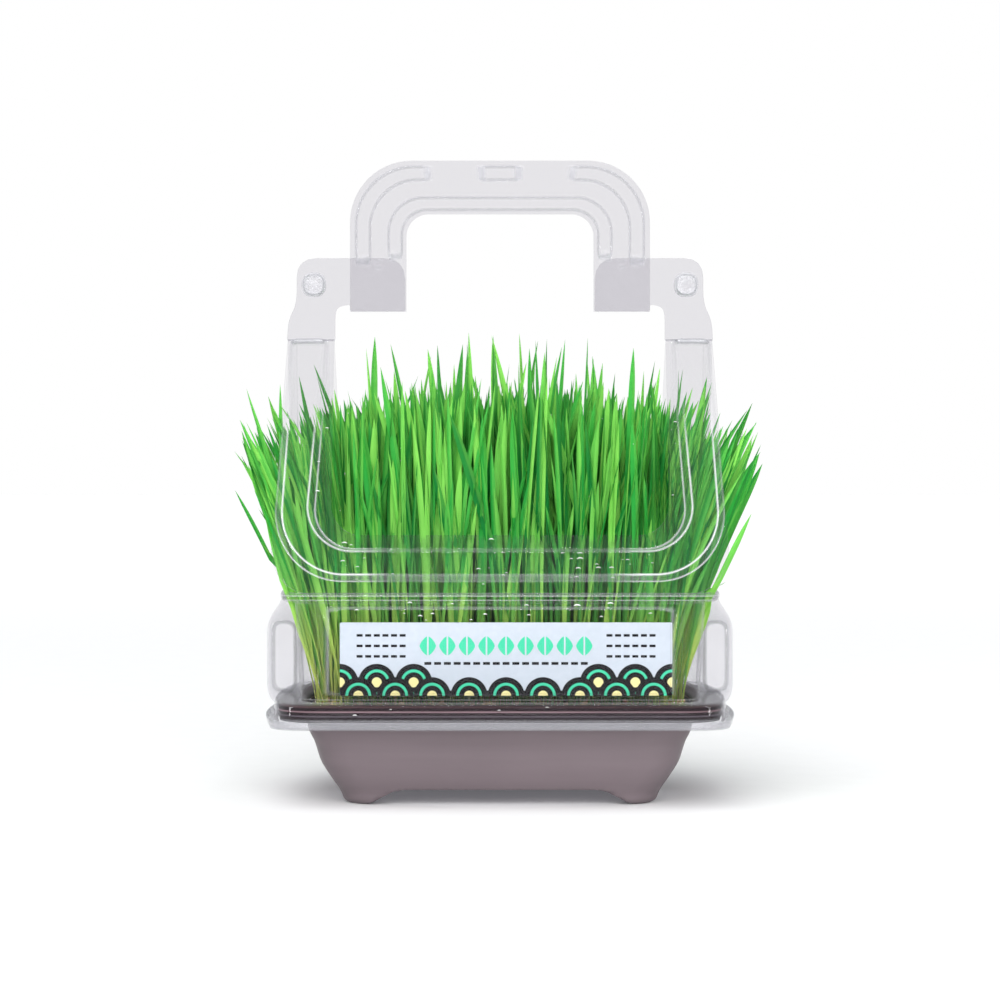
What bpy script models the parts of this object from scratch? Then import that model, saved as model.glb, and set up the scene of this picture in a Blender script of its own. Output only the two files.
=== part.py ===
"""Wheatgrass growing in a brown tray, in a clear two-part carrier with a folding handle.

Units are metres, +Z is up and the tray's front faces -Y. The origin is on the ground under the
middle of the tray. Both carrier halves meet at the plane y = 0, and the back one is the front one
turned half round about Z.
"""

import math
import random

import bmesh
import bpy
import numpy as np
from mathutils import Matrix, Vector
from mathutils.bvhtree import BVHTree

GAP = 0.0003
SHEET = 0.0006
CUT_MARGIN = 0.002

# Tray
RIM_HALF_X = 0.0995
RIM_HALF_Y = 0.070
RIM_TOP = 0.0452
RIM_RADIUS = 0.018
RIM_BOW = 0.006
TRAY_WALL = 0.0016
FLOOR_UNDERSIDE = 0.0075
FOOT_NOTCH_TOP = 0.0068
FOOT_NOTCH_FLOOR_X = 0.060
FOOT_NOTCH_ROOF_X = 0.043
FOOT_NOTCH_FLOOR_Y = 0.030
FOOT_NOTCH_ROOF_Y = 0.022
TRAY_OUTSIDE = (  # half width and height, from the foot to the underside of the rim
    (0.0702, 0.0),
    (0.0722, 0.0018),
    (0.0730, 0.0050),
    (0.0764, 0.0100),
    (0.0810, 0.0175),
    (0.0838, 0.0270),
    (0.0860, 0.0310),
    (0.0872, 0.0360),
    (0.0876, 0.0432),
)
LIP_BOTTOM = 0.0382
LIP_THICKNESS = 0.0018
RIM_EDGE = 0.001
FOOT_WIDTH = 0.003
FLOOR_CORNER = 0.003
INSIDE_HEIGHTS = (0.0360, 0.0310, 0.0270, 0.0175, 0.0115)

# Roots and grass
MAT_HEIGHTS = (0.0120, 0.0175, 0.0270, 0.0310, 0.0360)
MAT_TOP = MAT_HEIGHTS[-1]
SEED_TOP = 0.0435
BUNCH_COLUMNS = 4
BUNCH_ROWS = 2
BLADES_PER_BUNCH = 54
BLADE_WIDTH = (0.0031, 0.0039)
BLADE_KEEL = 0.0010
BLADE_CLEARANCE = 0.00035
BLADE_SECTIONS = ((0.0, 0.75), (0.36, 1.0), (0.72, 0.74))  # share of the height, share of the width
BLADE_BEND = 1.8
BLADE_TURN = 0.9
TALL_SHARE = 0.8
TALL_RISE = (0.112, 0.158)
SHORT_RISE = (0.085, 0.120)
EDGE_DROP = 0.26
FAN = 0.043
FAN_SPREAD = (0.75, 1.1)
FAN_POWER = 1.6
SWAY = (0.009, 0.010)
FRONT_LEAN = 0.006
ARM_LEAN = 0.030
ARM_STARTS = 0.052
ARM_RAMP = 0.020
ROOT_DEPTH = 0.0022
ROOT_HALF = (0.0830, 0.0535)
ROOT_SCATTER = 0.3
ROOT_CORNER = (0.0720, 0.0435, 0.0105)
ROOT_MARGIN = 0.0022
TRIES = 70
SHORTER_EACH_TRY = 0.007
OUTERMOST_BLADES = (  # root x and y, then the tip
    (-0.0680, 0.0100, (-0.1215, 0.0120, 0.1320)),
    (0.0780, -0.0080, (0.1215, -0.0100, 0.1580)),
)
OUTERMOST_FACING = 1.2
REACH = 0.1205
TALLEST_TIP = 0.210

# Carrier
BOX_ROWS = (  # half width, half depth, corner radius, bow of the side, height
    (0.1046, 0.0760, 0.016, 0.0080, 0.0389),
    (0.1040, 0.0754, 0.016, 0.0080, 0.0356),
    (0.1014, 0.0720, 0.018, 0.0065, 0.0362),
    (0.0990, 0.0696, 0.018, 0.0062, 0.0373),
    (0.1008, 0.0712, 0.018, 0.0060, 0.0384),
    (0.1006, 0.0711, 0.018, 0.0060, 0.0454),
    (0.0996, 0.0702, 0.018, 0.0060, 0.0462),
    (0.0898, 0.0638, 0.013, 0.0045, 0.0463),
    (0.0890, 0.0630, 0.012, 0.0040, 0.0478),
    (0.0920, 0.0630, 0.012, 0.0045, 0.0905),
    (0.0978, 0.0654, 0.008, 0.0050, 0.0917),
    (0.0980, 0.0656, 0.008, 0.0050, 0.0941),
    (0.0950, 0.0610, 0.008, 0.0050, 0.0948),
)
POCKET_X = 0.0760
POCKET_Z = (0.0485, 0.0890)
POCKET_RADIUS = 0.003
POCKET_FRONT = 0.0662
POCKET_BACK = 0.0628
POCKET_HOLLOW_BACK = 0.0610
EAR_OUTLINE = (
    (0.0888, 0.0461),
    (0.1006, 0.0461),
    (0.1006, 0.0395),
    (0.1012, 0.0395),
    (0.1036, 0.0425),
    (0.1055, 0.0470),
    (0.1055, 0.0760),
    (0.1040, 0.0805),
    (0.1010, 0.0850),
    (0.0985, 0.0895),
    (0.0982, 0.0926),
    (0.0905, 0.0926),
)
EAR_PANEL_X = (0.0925, 0.1034)
EAR_PANEL_Z = (0.0465, 0.0783)
EAR_PANEL_RADIUS = 0.004
EAR_PANEL_DEPTH = 0.003

# Leaning frame: where its plane starts and ends, then its contours from the opening outwards.
FRAME_FOOT = (-0.0620, 0.0960)
FRAME_HEAD = (-0.0005, 0.2060)
FRAME_CONTOURS = (  # half width below, half width at the top, bottom height, corner radius, rib height
    (0.0740, 0.0752, 0.1162, 0.014, 0.0),
    (0.0812, 0.0778, 0.1134, 0.018, 0.0),
    (0.0838, 0.0796, 0.1109, 0.020, 0.0045),
    (0.0952, 0.0930, 0.1020, 0.028, 0.0045),
    (0.0982, 0.0952, 0.0985, 0.031, 0.0),
    (0.0992, 0.0962, 0.0944, 0.019, 0.0),
)
FRAME_ARC_STEPS = 5
RIB_END_LENGTH = 0.0035

# Flat arm tops, stubs and buttons
TOP_OUTLINE = (
    (0.0748, 0.2035),
    (0.0748, 0.2180),
    (0.0735, 0.2208),
    (0.0700, 0.2218),
    (0.0680, 0.2218),
    (0.0680, 0.2189),
    (0.0430, 0.2189),
    (0.0430, 0.2380),
    (0.0442, 0.2415),
    (0.0475, 0.2430),
    (0.0835, 0.2430),
    (0.0880, 0.2418),
    (0.0912, 0.2385),
    (0.0922, 0.2345),
    (0.0922, 0.2225),
    (0.0935, 0.2190),
    (0.0960, 0.2150),
    (0.0966, 0.2035),
)
BUTTON_AT = (0.0845, 0.2310)
BUTTON_RADIUS = 0.0048
BUTTON_LOBE = 0.0009
BUTTON_DEPTH = 0.0022

# Handle leaf
HINGE_Z = 0.2186
HINGE_Y = 0.0009
LEAF_BACK = 0.00105
LEG_X = (0.0425, 0.0680)
LEAF_TOP = 0.2872
GRIP_BOTTOM = 0.2630
LEAF_OUTER_RADIUS = 0.028
LEAF_INNER_RADIUS = 0.010
RIB_WIDTH = 0.0062
RIB_DEPTH = 0.0026
OUTER_RIB_INSET = 0.0058
INNER_RIB_INSET = 0.0050
CENTRE_RIB_HALF = 0.0086
SIDE_RIB_START_Z = 0.2420
SIDE_RIB_END_X = 0.0330
INNER_RIB_START_Z = 0.2440
INNER_RIB_RADIUS = 0.014

# Card
CARD_SIZE = (0.1428, 0.0005, 0.0314)
CARD_CENTRE_X = 0.0026
CARD_BOTTOM = 0.0497
CARD_Y = -0.0648


def clear_scene():
    for thing in list(bpy.data.objects):
        bpy.data.objects.remove(thing, do_unlink=True)


def make_collection(name):
    collection = bpy.data.collections.new(name)
    bpy.context.scene.collection.children.link(collection)
    return collection


def make_material(name, colour, roughness, alpha=1.0):
    material = bpy.data.materials.new(name)
    material.use_nodes = True
    surface = material.node_tree.nodes["Principled BSDF"]
    surface.inputs["Base Color"].default_value = (*colour, 1.0)
    surface.inputs["Roughness"].default_value = roughness
    surface.inputs["Metallic"].default_value = 0.0
    surface.inputs["Alpha"].default_value = alpha
    return material


def add_object(name, mesh, collection, material=None):
    thing = bpy.data.objects.new(name, mesh)
    collection.objects.link(thing)
    if material:
        mesh.materials.clear()
        mesh.materials.append(material)
    return thing


def mesh_of(name, points, faces):
    """A mesh with its faces turned outwards."""
    mesh = bpy.data.meshes.new(name)
    mesh.from_pydata([tuple(p) for p in points], [], faces)
    work = bmesh.new()
    work.from_mesh(mesh)
    bmesh.ops.recalc_face_normals(work, faces=work.faces)
    work.to_mesh(mesh)
    work.free()
    return mesh


def strip_faces(rows, columns, closed):
    """Quads between neighbouring rows of points; a closed row joins its last point to its first."""
    faces = []
    for row in range(rows - 1):
        for column in range(columns if closed else columns - 1):
            after = (column + 1) % columns
            low, high = row * columns, (row + 1) * columns
            faces.append((low + column, low + after, high + after, high + column))
    return faces


def loft(name, loops):
    """A closed solid through closed loops of equal length, with both ends capped."""
    columns = len(loops[0])
    faces = strip_faces(len(loops), columns, True)
    faces.append(tuple(range(columns)))
    faces.append(tuple(range((len(loops) - 1) * columns, len(loops) * columns)))
    return mesh_of(name, [p for loop in loops for p in loop], faces)


def prism(name, outline, back, front):
    """An outline of x and z points made solid between two y values."""
    loops = [[(x, y, z) for x, z in outline] for y in (back, front)]
    return loft(name, loops)


def evaluated_mesh(thing):
    graph = bpy.context.evaluated_depsgraph_get()
    return bpy.data.meshes.new_from_object(thing.evaluated_get(graph))


def apply_modifiers(thing):
    mesh = evaluated_mesh(thing)
    thing.modifiers.clear()
    thing.data = mesh


def solidify(thing):
    sheet = thing.modifiers.new("sheet", "SOLIDIFY")
    sheet.thickness = SHEET
    sheet.offset = 0.0
    sheet.use_even_offset = True
    apply_modifiers(thing)


def combine(thing, others, operation):
    """Applies one Boolean of all the other objects, then removes them."""
    tools = bpy.data.collections.new("tools")
    bpy.context.scene.collection.children.link(tools)
    for other in others:
        for owner in list(other.users_collection):
            owner.objects.unlink(other)
        tools.objects.link(other)
    boolean = thing.modifiers.new("combine", "BOOLEAN")
    boolean.operation = operation
    boolean.operand_type = "COLLECTION"
    boolean.collection = tools
    boolean.solver = "EXACT"
    apply_modifiers(thing)
    for other in others:
        bpy.data.objects.remove(other, do_unlink=True)
    bpy.data.collections.remove(tools)


def quadrant(half_x, half_y, radius, bow, steps=4):
    """A quarter of a plan outline, from (half_x, 0) to (0, half_y). Its side bows outwards."""
    straight = half_y - radius
    side = [(half_x - bow * (y / half_y) ** 2, y) for y in (0.0, straight / 2)]
    centre_x = half_x - bow * (straight / half_y) ** 2 - radius
    angles = [math.pi / 2 * k / steps for k in range(steps + 1)]
    arc = [(centre_x + radius * math.cos(a), straight + radius * math.sin(a)) for a in angles]
    return side + arc + [(0.0, half_y)]


def plan_loop(half_x, half_y, radius, bow, z):
    quarter = quadrant(half_x, half_y, radius, bow)
    loop = [(x, y, z) for x, y in quarter]
    loop += [(-x, y, z) for x, y in reversed(quarter[:-1])]
    loop += [(-x, -y, z) for x, y in quarter[1:]]
    loop += [(x, -y, z) for x, y in reversed(quarter[1:-1])]
    return loop


def front_path(half_x, half_y, radius, bow, z):
    """The front half of a plan outline, from the right end at the middle plane to the left one."""
    quarter = quadrant(half_x, half_y, radius, bow)
    quarter[0] = (quarter[0][0], GAP)
    path = [(x, -y, z) for x, y in quarter]
    return path + [(-x, -y, z) for x, y in reversed(quarter[:-1])]


def tray_loop(half_x, z):
    """The tray's plan at a height: as deep as it is wide, less the rim's difference."""
    inset = RIM_HALF_X - half_x
    return plan_loop(half_x, RIM_HALF_Y - inset, RIM_RADIUS - 0.15 * inset, RIM_BOW, z)


def tray_inside(z):
    widths, heights = zip(*TRAY_OUTSIDE)
    return float(np.interp(z, heights, widths)) - TRAY_WALL


def rounded_rectangle(x_range, z_range, radius, steps=3):
    outline = []
    corners = ((1, 1, 0), (0, 1, 90), (0, 0, 180), (1, 0, 270))
    for right, top, start in corners:
        x = x_range[right] + (-radius if right else radius)
        z = z_range[top] + (-radius if top else radius)
        for k in range(steps + 1):
            a = math.radians(start + 90 * k / steps)
            outline.append((x + radius * math.cos(a), z + radius * math.sin(a)))
    return outline


def inset_range(pair, by):
    return (pair[0] + by, pair[1] - by)


def build_tray(collection):
    foot_inside = TRAY_OUTSIDE[0][0] - FOOT_WIDTH
    profile = [(foot_inside - FOOT_WIDTH, FLOOR_UNDERSIDE), (foot_inside, 0.0)]
    profile += list(TRAY_OUTSIDE)
    under_rim = TRAY_OUTSIDE[-1][1]
    profile += [(RIM_HALF_X - LIP_THICKNESS, under_rim), (RIM_HALF_X - LIP_THICKNESS, LIP_BOTTOM)]
    profile += [(RIM_HALF_X, LIP_BOTTOM), (RIM_HALF_X, RIM_TOP - RIM_EDGE), (RIM_HALF_X - RIM_EDGE, RIM_TOP)]
    inside_top = tray_inside(under_rim)
    profile += [(inside_top + RIM_EDGE, RIM_TOP), (inside_top, RIM_TOP - RIM_EDGE)]
    profile += [(tray_inside(z), z) for z in INSIDE_HEIGHTS]
    profile.append((tray_inside(INSIDE_HEIGHTS[-1]) - FLOOR_CORNER, FLOOR_UNDERSIDE + TRAY_WALL))
    tray = add_object("tray", loft("tray", [tray_loop(x, z) for x, z in profile]), collection)
    notch = [
        (-FOOT_NOTCH_FLOOR_X, -CUT_MARGIN),
        (FOOT_NOTCH_FLOOR_X, -CUT_MARGIN),
        (FOOT_NOTCH_ROOF_X, FOOT_NOTCH_TOP),
        (-FOOT_NOTCH_ROOF_X, FOOT_NOTCH_TOP),
    ]
    side_notch = [
        (-FOOT_NOTCH_FLOOR_Y, -CUT_MARGIN),
        (FOOT_NOTCH_FLOOR_Y, -CUT_MARGIN),
        (FOOT_NOTCH_ROOF_Y, FOOT_NOTCH_TOP),
        (-FOOT_NOTCH_ROOF_Y, FOOT_NOTCH_TOP),
    ]
    across = add_object("front_notch", prism("front_notch", notch, -RIM_HALF_Y, RIM_HALF_Y), collection)
    along_mesh = prism("side_notch", side_notch, -RIM_HALF_X, RIM_HALF_X)
    along_mesh.transform(Matrix.Rotation(math.pi / 2, 4, "Z"))
    along = add_object("side_notch", along_mesh, collection)
    combine(tray, [across, along], "DIFFERENCE")
    return tray


def build_box_sheet(collection):
    rows = [front_path(*row) for row in BOX_ROWS]
    faces = strip_faces(len(rows), len(rows[0]), False)
    sheet = add_object("carrier_front", mesh_of("box", [p for r in rows for p in r], faces), collection)
    solidify(sheet)
    return sheet


def lean_point(x, z, height):
    """A point on the leaning plane at a height above ground, raised off it to the front."""
    foot, head = Vector((0, *FRAME_FOOT)), Vector((0, *FRAME_HEAD))
    share = (z - foot.z) / (head.z - foot.z)
    along = (head - foot).normalized()
    normal = Vector((0, -along.z, along.y))
    return Vector((x, 0, 0)) + foot.lerp(head, share) + normal * height


def contour(half_low, half_high, bottom, radius, rib):
    """Right half of a contour on the leaning plane, from its top end to the middle of its foot."""
    head = FRAME_HEAD[1]
    knee = bottom + radius

    def width(z):
        return half_low + (half_high - half_low) * max(0.0, z - knee) / (head - knee)

    points = [(width(head), head, 0.0), (width(head), head - RIB_END_LENGTH, rib)]
    points += [(width(z), z, rib) for z in (head * 0.55 + knee * 0.45,)]
    for k in range(FRAME_ARC_STEPS + 1):
        a = math.pi / 2 * k / FRAME_ARC_STEPS
        x = half_low - radius + radius * math.cos(a)
        points.append((x, knee - radius * math.sin(a), rib))
    return points + [(0.0, bottom, rib)]


def build_frame_sheet(collection):
    rows = []
    for values in FRAME_CONTOURS:
        half = contour(*values)
        left = [(-x, z, height) for x, z, height in reversed(half[:-1])]
        rows.append([lean_point(*spot) for spot in half + left])
    faces = strip_faces(len(rows), len(rows[0]), False)
    sheet = add_object("frame", mesh_of("frame", [p for r in rows for p in r], faces), collection)
    solidify(sheet)
    return sheet


def mirrored(outline, side):
    return [(side * x, z) for x, z in outline]


def lobed_outline(centre, radius, lobe, side):
    """A round outline with four lobes on its diagonals."""
    outline = []
    for k in range(16):
        a = math.tau * k / 16
        r = radius - lobe * math.cos(4 * a)
        outline.append((side * centre[0] + r * math.cos(a), centre[1] + r * math.sin(a)))
    return outline


def build_carrier(collection):
    """One half of the carrier: its sheets and plates joined, then hollowed behind each raised form."""
    body = build_box_sheet(collection)
    plate_back, plate_front = -GAP / 2, -GAP / 2 - SHEET
    shapes, hollows = [build_frame_sheet(collection)], []

    def add(name, outline, back, front):
        shapes.append(add_object(name, prism(name, outline, back, front), collection))

    def cut(name, outline, back, front):
        hollows.append(add_object(name, prism(name, outline, back, front), collection))

    pocket = rounded_rectangle((-POCKET_X, POCKET_X), POCKET_Z, POCKET_RADIUS)
    add("pocket", pocket, -POCKET_BACK, -POCKET_FRONT)
    inner = rounded_rectangle(
        inset_range((-POCKET_X, POCKET_X), SHEET), inset_range(POCKET_Z, SHEET), POCKET_RADIUS - SHEET
    )
    cut("pocket_inside", inner, -POCKET_HOLLOW_BACK, -POCKET_FRONT + SHEET)
    for side in (-1, 1):
        add("top", mirrored(TOP_OUTLINE, side), plate_back, plate_front)
        add("ear", mirrored(EAR_OUTLINE, side), plate_back, plate_front)
        panel = rounded_rectangle(EAR_PANEL_X, EAR_PANEL_Z, EAR_PANEL_RADIUS)
        inner = rounded_rectangle(
            inset_range(EAR_PANEL_X, SHEET), inset_range(EAR_PANEL_Z, SHEET), EAR_PANEL_RADIUS - SHEET
        )
        add("panel", mirrored(panel, side), plate_back - SHEET / 2, plate_back - EAR_PANEL_DEPTH)
        cut("panel_inside", mirrored(inner, side), CUT_MARGIN, plate_back - EAR_PANEL_DEPTH + SHEET)
        knob = lobed_outline(BUTTON_AT, BUTTON_RADIUS, BUTTON_LOBE, side)
        inner = lobed_outline(BUTTON_AT, BUTTON_RADIUS - SHEET, BUTTON_LOBE, side)
        add("button", knob, plate_back - SHEET / 2, plate_back - BUTTON_DEPTH)
        cut("button_inside", inner, CUT_MARGIN, plate_back - BUTTON_DEPTH + SHEET)
    combine(body, shapes, "UNION")
    combine(body, hollows, "DIFFERENCE")
    return body


def arch(half_x, top, radius, bottom, steps=6):
    """An arch of x and z points: up the right side, over the top and down the left."""
    right = [(half_x, bottom)]
    for k in range(steps + 1):
        a = math.pi / 2 * k / steps
        right.append((half_x - radius + radius * math.cos(a), top - radius + radius * math.sin(a)))
    return right + [(-x, z) for x, z in reversed(right)]


def band(path, half_width):
    """The outline of a strip of even width along an open path of x and z points."""
    sides = ([], [])
    for k, (x, z) in enumerate(path):
        before, after = path[max(k - 1, 0)], path[min(k + 1, len(path) - 1)]
        along = Vector((after[0] - before[0], after[1] - before[1])).normalized()
        for side, sign in zip(sides, (1, -1)):
            side.append((x - sign * along.y * half_width, z + sign * along.x * half_width))
    return sides[0] + sides[1][::-1]


def rib_paths():
    """The raised ribs of a handle leaf: one long inner one, and an outer one in three lengths."""
    inner_x = LEG_X[0] + INNER_RIB_INSET
    inner = arch(inner_x, GRIP_BOTTOM + INNER_RIB_INSET, INNER_RIB_RADIUS, INNER_RIB_START_Z)
    outer_x, outer_top = LEG_X[1] - OUTER_RIB_INSET, LEAF_TOP - OUTER_RIB_INSET
    half = arch(outer_x, outer_top, LEAF_OUTER_RADIUS - OUTER_RIB_INSET, SIDE_RIB_START_Z)
    right = half[: len(half) // 2] + [(SIDE_RIB_END_X, outer_top)]
    left = [(-x, z) for x, z in right]
    centre = [(CENTRE_RIB_HALF, outer_top), (-CENTRE_RIB_HALF, outer_top)]
    return {"inner": inner, "right": right, "left": left, "centre": centre}


def build_handle(collection):
    """One handle leaf in place at the front, its mesh measured from the hinge line."""
    foot = HINGE_Z + GAP / 2
    outer = arch(LEG_X[1], LEAF_TOP, LEAF_OUTER_RADIUS, foot)
    inner = arch(LEG_X[0], GRIP_BOTTOM, LEAF_INNER_RADIUS, foot)
    plate = prism("leaf", outer + inner[::-1], -LEAF_BACK, -LEAF_BACK - SHEET)
    leaf = add_object("handle_front", plate, collection)
    ribs, hollows = [], []
    face = -LEAF_BACK - SHEET / 2
    for name, path in rib_paths().items():
        crown = prism(name, band(path, RIB_WIDTH / 2), face, -LEAF_BACK - RIB_DEPTH)
        ribs.append(add_object(name, crown, collection))
        short = [Vector(spot) for spot in path]
        short[0] = short[0] + (short[1] - short[0]).normalized() * SHEET
        short[-1] = short[-1] + (short[-2] - short[-1]).normalized() * SHEET
        outline = band([tuple(spot) for spot in short], RIB_WIDTH / 2 - SHEET)
        inside = prism(name, outline, CUT_MARGIN, -LEAF_BACK - RIB_DEPTH + SHEET)
        hollows.append(add_object(name + "_inside", inside, collection))
    combine(leaf, ribs, "UNION")
    combine(leaf, hollows, "DIFFERENCE")
    leaf.data.transform(Matrix.Translation((0, HINGE_Y, -HINGE_Z)))
    leaf.location = (0, -HINGE_Y, HINGE_Z)
    return leaf


def build_card(collection):
    bpy.ops.mesh.primitive_cube_add(size=1)
    card = bpy.context.object
    card.name = "card_insert"
    card.data.transform(Matrix.Diagonal((*CARD_SIZE, 1)))
    card.location = (CARD_CENTRE_X, CARD_Y, CARD_BOTTOM + CARD_SIZE[2] / 2)
    for owner in list(card.users_collection):
        owner.objects.unlink(card)
    collection.objects.link(card)
    return card


def mat_loops(heights):
    return [tray_loop(tray_inside(z) - 2 * GAP, z) for z in heights]


def build_root_mat(collection):
    mesh = loft("root_mat", mat_loops(MAT_HEIGHTS))
    return add_object("root_mat", mesh, collection)


def bunch_cell(column, row):
    """The x and y ranges of one bunch in the tray."""
    half_x, half_y = RIM_HALF_X, RIM_HALF_Y
    x0 = -half_x + 2 * half_x * column / BUNCH_COLUMNS
    y0 = -half_y + 2 * half_y * row / BUNCH_ROWS
    x_range = (x0 + GAP / 2, x0 + 2 * half_x / BUNCH_COLUMNS - GAP / 2)
    y_range = (y0 + GAP / 2, y0 + 2 * half_y / BUNCH_ROWS - GAP / 2)
    return x_range, y_range


def blade_points(root, tip, width, facing, grow=0.0):
    """Corners of a keeled blade: three to a section, then the tip. It bends more towards its tip."""
    root, tip = Vector(root), Vector(tip)
    across = Vector((math.cos(facing), math.sin(facing), 0))
    points = []
    for share, wide in BLADE_SECTIONS:
        bent = share**BLADE_BEND
        spine = Vector((
            root.x + (tip.x - root.x) * bent,
            root.y + (tip.y - root.y) * bent,
            root.z + (tip.z - root.z) * share,
        ))
        behind = Vector((-across.y, across.x, 0))
        half = width * wide / 2 + grow
        points.append(spine + across * half + behind * grow)
        points.append(spine - across * half + behind * grow)
        points.append(spine - behind * (BLADE_KEEL + grow))
    points.append(tip + Vector((0, 0, grow)))
    return points


def blade_faces():
    rows = len(BLADE_SECTIONS)
    faces = [(0, 1, 2)]
    for row in range(rows - 1):
        for k in range(3):
            a, b = row * 3 + k, row * 3 + (k + 1) % 3
            faces += [(a, b, b + 3), (a, b + 3, a + 3)]
    top = (rows - 1) * 3
    faces += [(top + k, top + (k + 1) % 3, top + 3) for k in range(3)]
    return faces


def blade_tip(x, y, draw, shorter):
    """Where a blade from (x, y) ends: outer ones lean out over the sides and stay lower, and those
    behind an arm of the carrier lean back from it."""
    u, v = x / tray_inside(SEED_TOP), y / ROOT_HALF[1]
    tall = draw.uniform(*(TALL_RISE if draw.random() < TALL_SHARE else SHORT_RISE))
    rise = tall * (1 - EDGE_DROP * abs(u) ** 3) * shorter
    lean_x = FAN * u * abs(u) ** FAN_POWER * draw.uniform(*FAN_SPREAD) + draw.uniform(-SWAY[0], SWAY[0])
    lean_y = FRONT_LEAN * v + draw.uniform(-SWAY[1], SWAY[1])
    arm = min(max((abs(x) - ARM_STARTS) / ARM_RAMP, 0.0), 1.0)
    lean_y -= ARM_LEAN * v * arm * shorter
    tip_x = min(max(x + lean_x * shorter, -REACH), REACH)
    return (tip_x, y + lean_y, min(SEED_TOP + rise, TALLEST_TIP))


def root_spots(draw):
    """Roots on an uneven grid that keeps off the tray's round corners, in a mixed order."""
    half_x, half_y = ROOT_HALF
    spacing = math.sqrt(4 * half_x * half_y / (BUNCH_COLUMNS * BUNCH_ROWS * BLADES_PER_BUNCH))
    columns, rows = round(2 * half_x / spacing), round(2 * half_y / spacing)
    corner_x, corner_y, corner_radius = ROOT_CORNER
    spots = []
    for i in range(columns):
        for j in range(rows):
            x = ((i + 0.5) / columns * 2 - 1) * half_x + draw.uniform(-ROOT_SCATTER, ROOT_SCATTER) * spacing
            y = ((j + 0.5) / rows * 2 - 1) * half_y + draw.uniform(-ROOT_SCATTER, ROOT_SCATTER) * spacing
            over = math.hypot(max(abs(x) - corner_x, 0), max(abs(y) - corner_y, 0))
            if over < corner_radius:
                spots.append((x, y))
    draw.shuffle(spots)
    return spots


def cell_of(x, y):
    """Column and row of the bunch whose piece of the mat holds a root, or None between two."""
    for column in range(BUNCH_COLUMNS):
        for row in range(BUNCH_ROWS):
            x_range, y_range = bunch_cell(column, row)
            x_fits = x_range[0] + ROOT_MARGIN < x < x_range[1] - ROOT_MARGIN
            y_fits = y_range[0] + ROOT_MARGIN < y < y_range[1] - ROOT_MARGIN
            if x_fits and y_fits:
                return column, row
    return None


def try_blade(root, tip, width, facing, obstacles, grown):
    """Corners of a blade that keeps clear of the obstacles and of all blades grown before it, which
    it then joins, or None."""
    faces = blade_faces()
    wide = blade_points(root, tip, width, facing, BLADE_CLEARANCE)
    tree = BVHTree.FromPolygons(wide, faces, all_triangles=True)
    if any(tree.overlap(other) for other in obstacles):
        return None
    low = Vector([min(p[k] for p in wide) for k in range(3)])
    high = Vector([max(p[k] for p in wide) for k in range(3)])
    for other_low, other_high, other in grown:
        apart = any(low[k] > other_high[k] or other_low[k] > high[k] for k in range(3))
        if not apart and tree.overlap(other):
            return None
    points = blade_points(root, tip, width, facing)
    grown.append((low, high, BVHTree.FromPolygons(points, faces, all_triangles=True)))
    return points


def grow_blades(obstacles):
    """Blades of every bunch: the outermost one on each side, then one from each root, which is made
    shorter until it fits."""
    draw = random.Random(11)
    grown, bunches = [], {}
    depth = SEED_TOP - ROOT_DEPTH
    for x, y, tip in OUTERMOST_BLADES:
        points = try_blade((x, y, depth), tip, BLADE_WIDTH[0], OUTERMOST_FACING, obstacles, grown)
        bunches.setdefault(cell_of(x, y), []).append(points)
    for x, y in root_spots(draw):
        cell = cell_of(x, y)
        if cell is None:
            continue
        for attempt in range(TRIES):
            tip = blade_tip(x, y, draw, 1 - SHORTER_EACH_TRY * attempt)
            width = draw.uniform(*BLADE_WIDTH)
            facing = draw.uniform(-BLADE_TURN, BLADE_TURN)
            points = try_blade((x, y, depth), tip, width, facing, obstacles, grown)
            if points:
                bunches.setdefault(cell, []).append(points)
                break
    return bunches


def tree_of(thing):
    mesh = thing.data
    points = [thing.matrix_world @ v.co for v in mesh.vertices]
    return BVHTree.FromPolygons(points, [tuple(p.vertices) for p in mesh.polygons])


def build_grass(collection, material, obstacles):
    layer = loft("seed_layer", mat_loops((MAT_TOP + GAP, SEED_TOP)))
    faces = blade_faces()
    for (column, row), blades in sorted(grow_blades(obstacles).items()):
        name = f"grass_{column + 1}_{('front', 'back')[row]}"
        slab = add_object(name, layer.copy(), collection, material)
        x_range, y_range = bunch_cell(column, row)
        bpy.ops.mesh.primitive_cube_add(size=1)
        cell = bpy.context.object
        size = (x_range[1] - x_range[0], y_range[1] - y_range[0], 2 * SEED_TOP)
        centre = (sum(x_range) / 2, sum(y_range) / 2, SEED_TOP)
        cell.data.transform(Matrix.Translation(centre) @ Matrix.Diagonal((*size, 1)))
        combine(slab, [cell], "INTERSECT")
        stems = [add_object("blade", mesh_of("blade", points, faces), collection) for points in blades]
        combine(slab, stems, "UNION")


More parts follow.
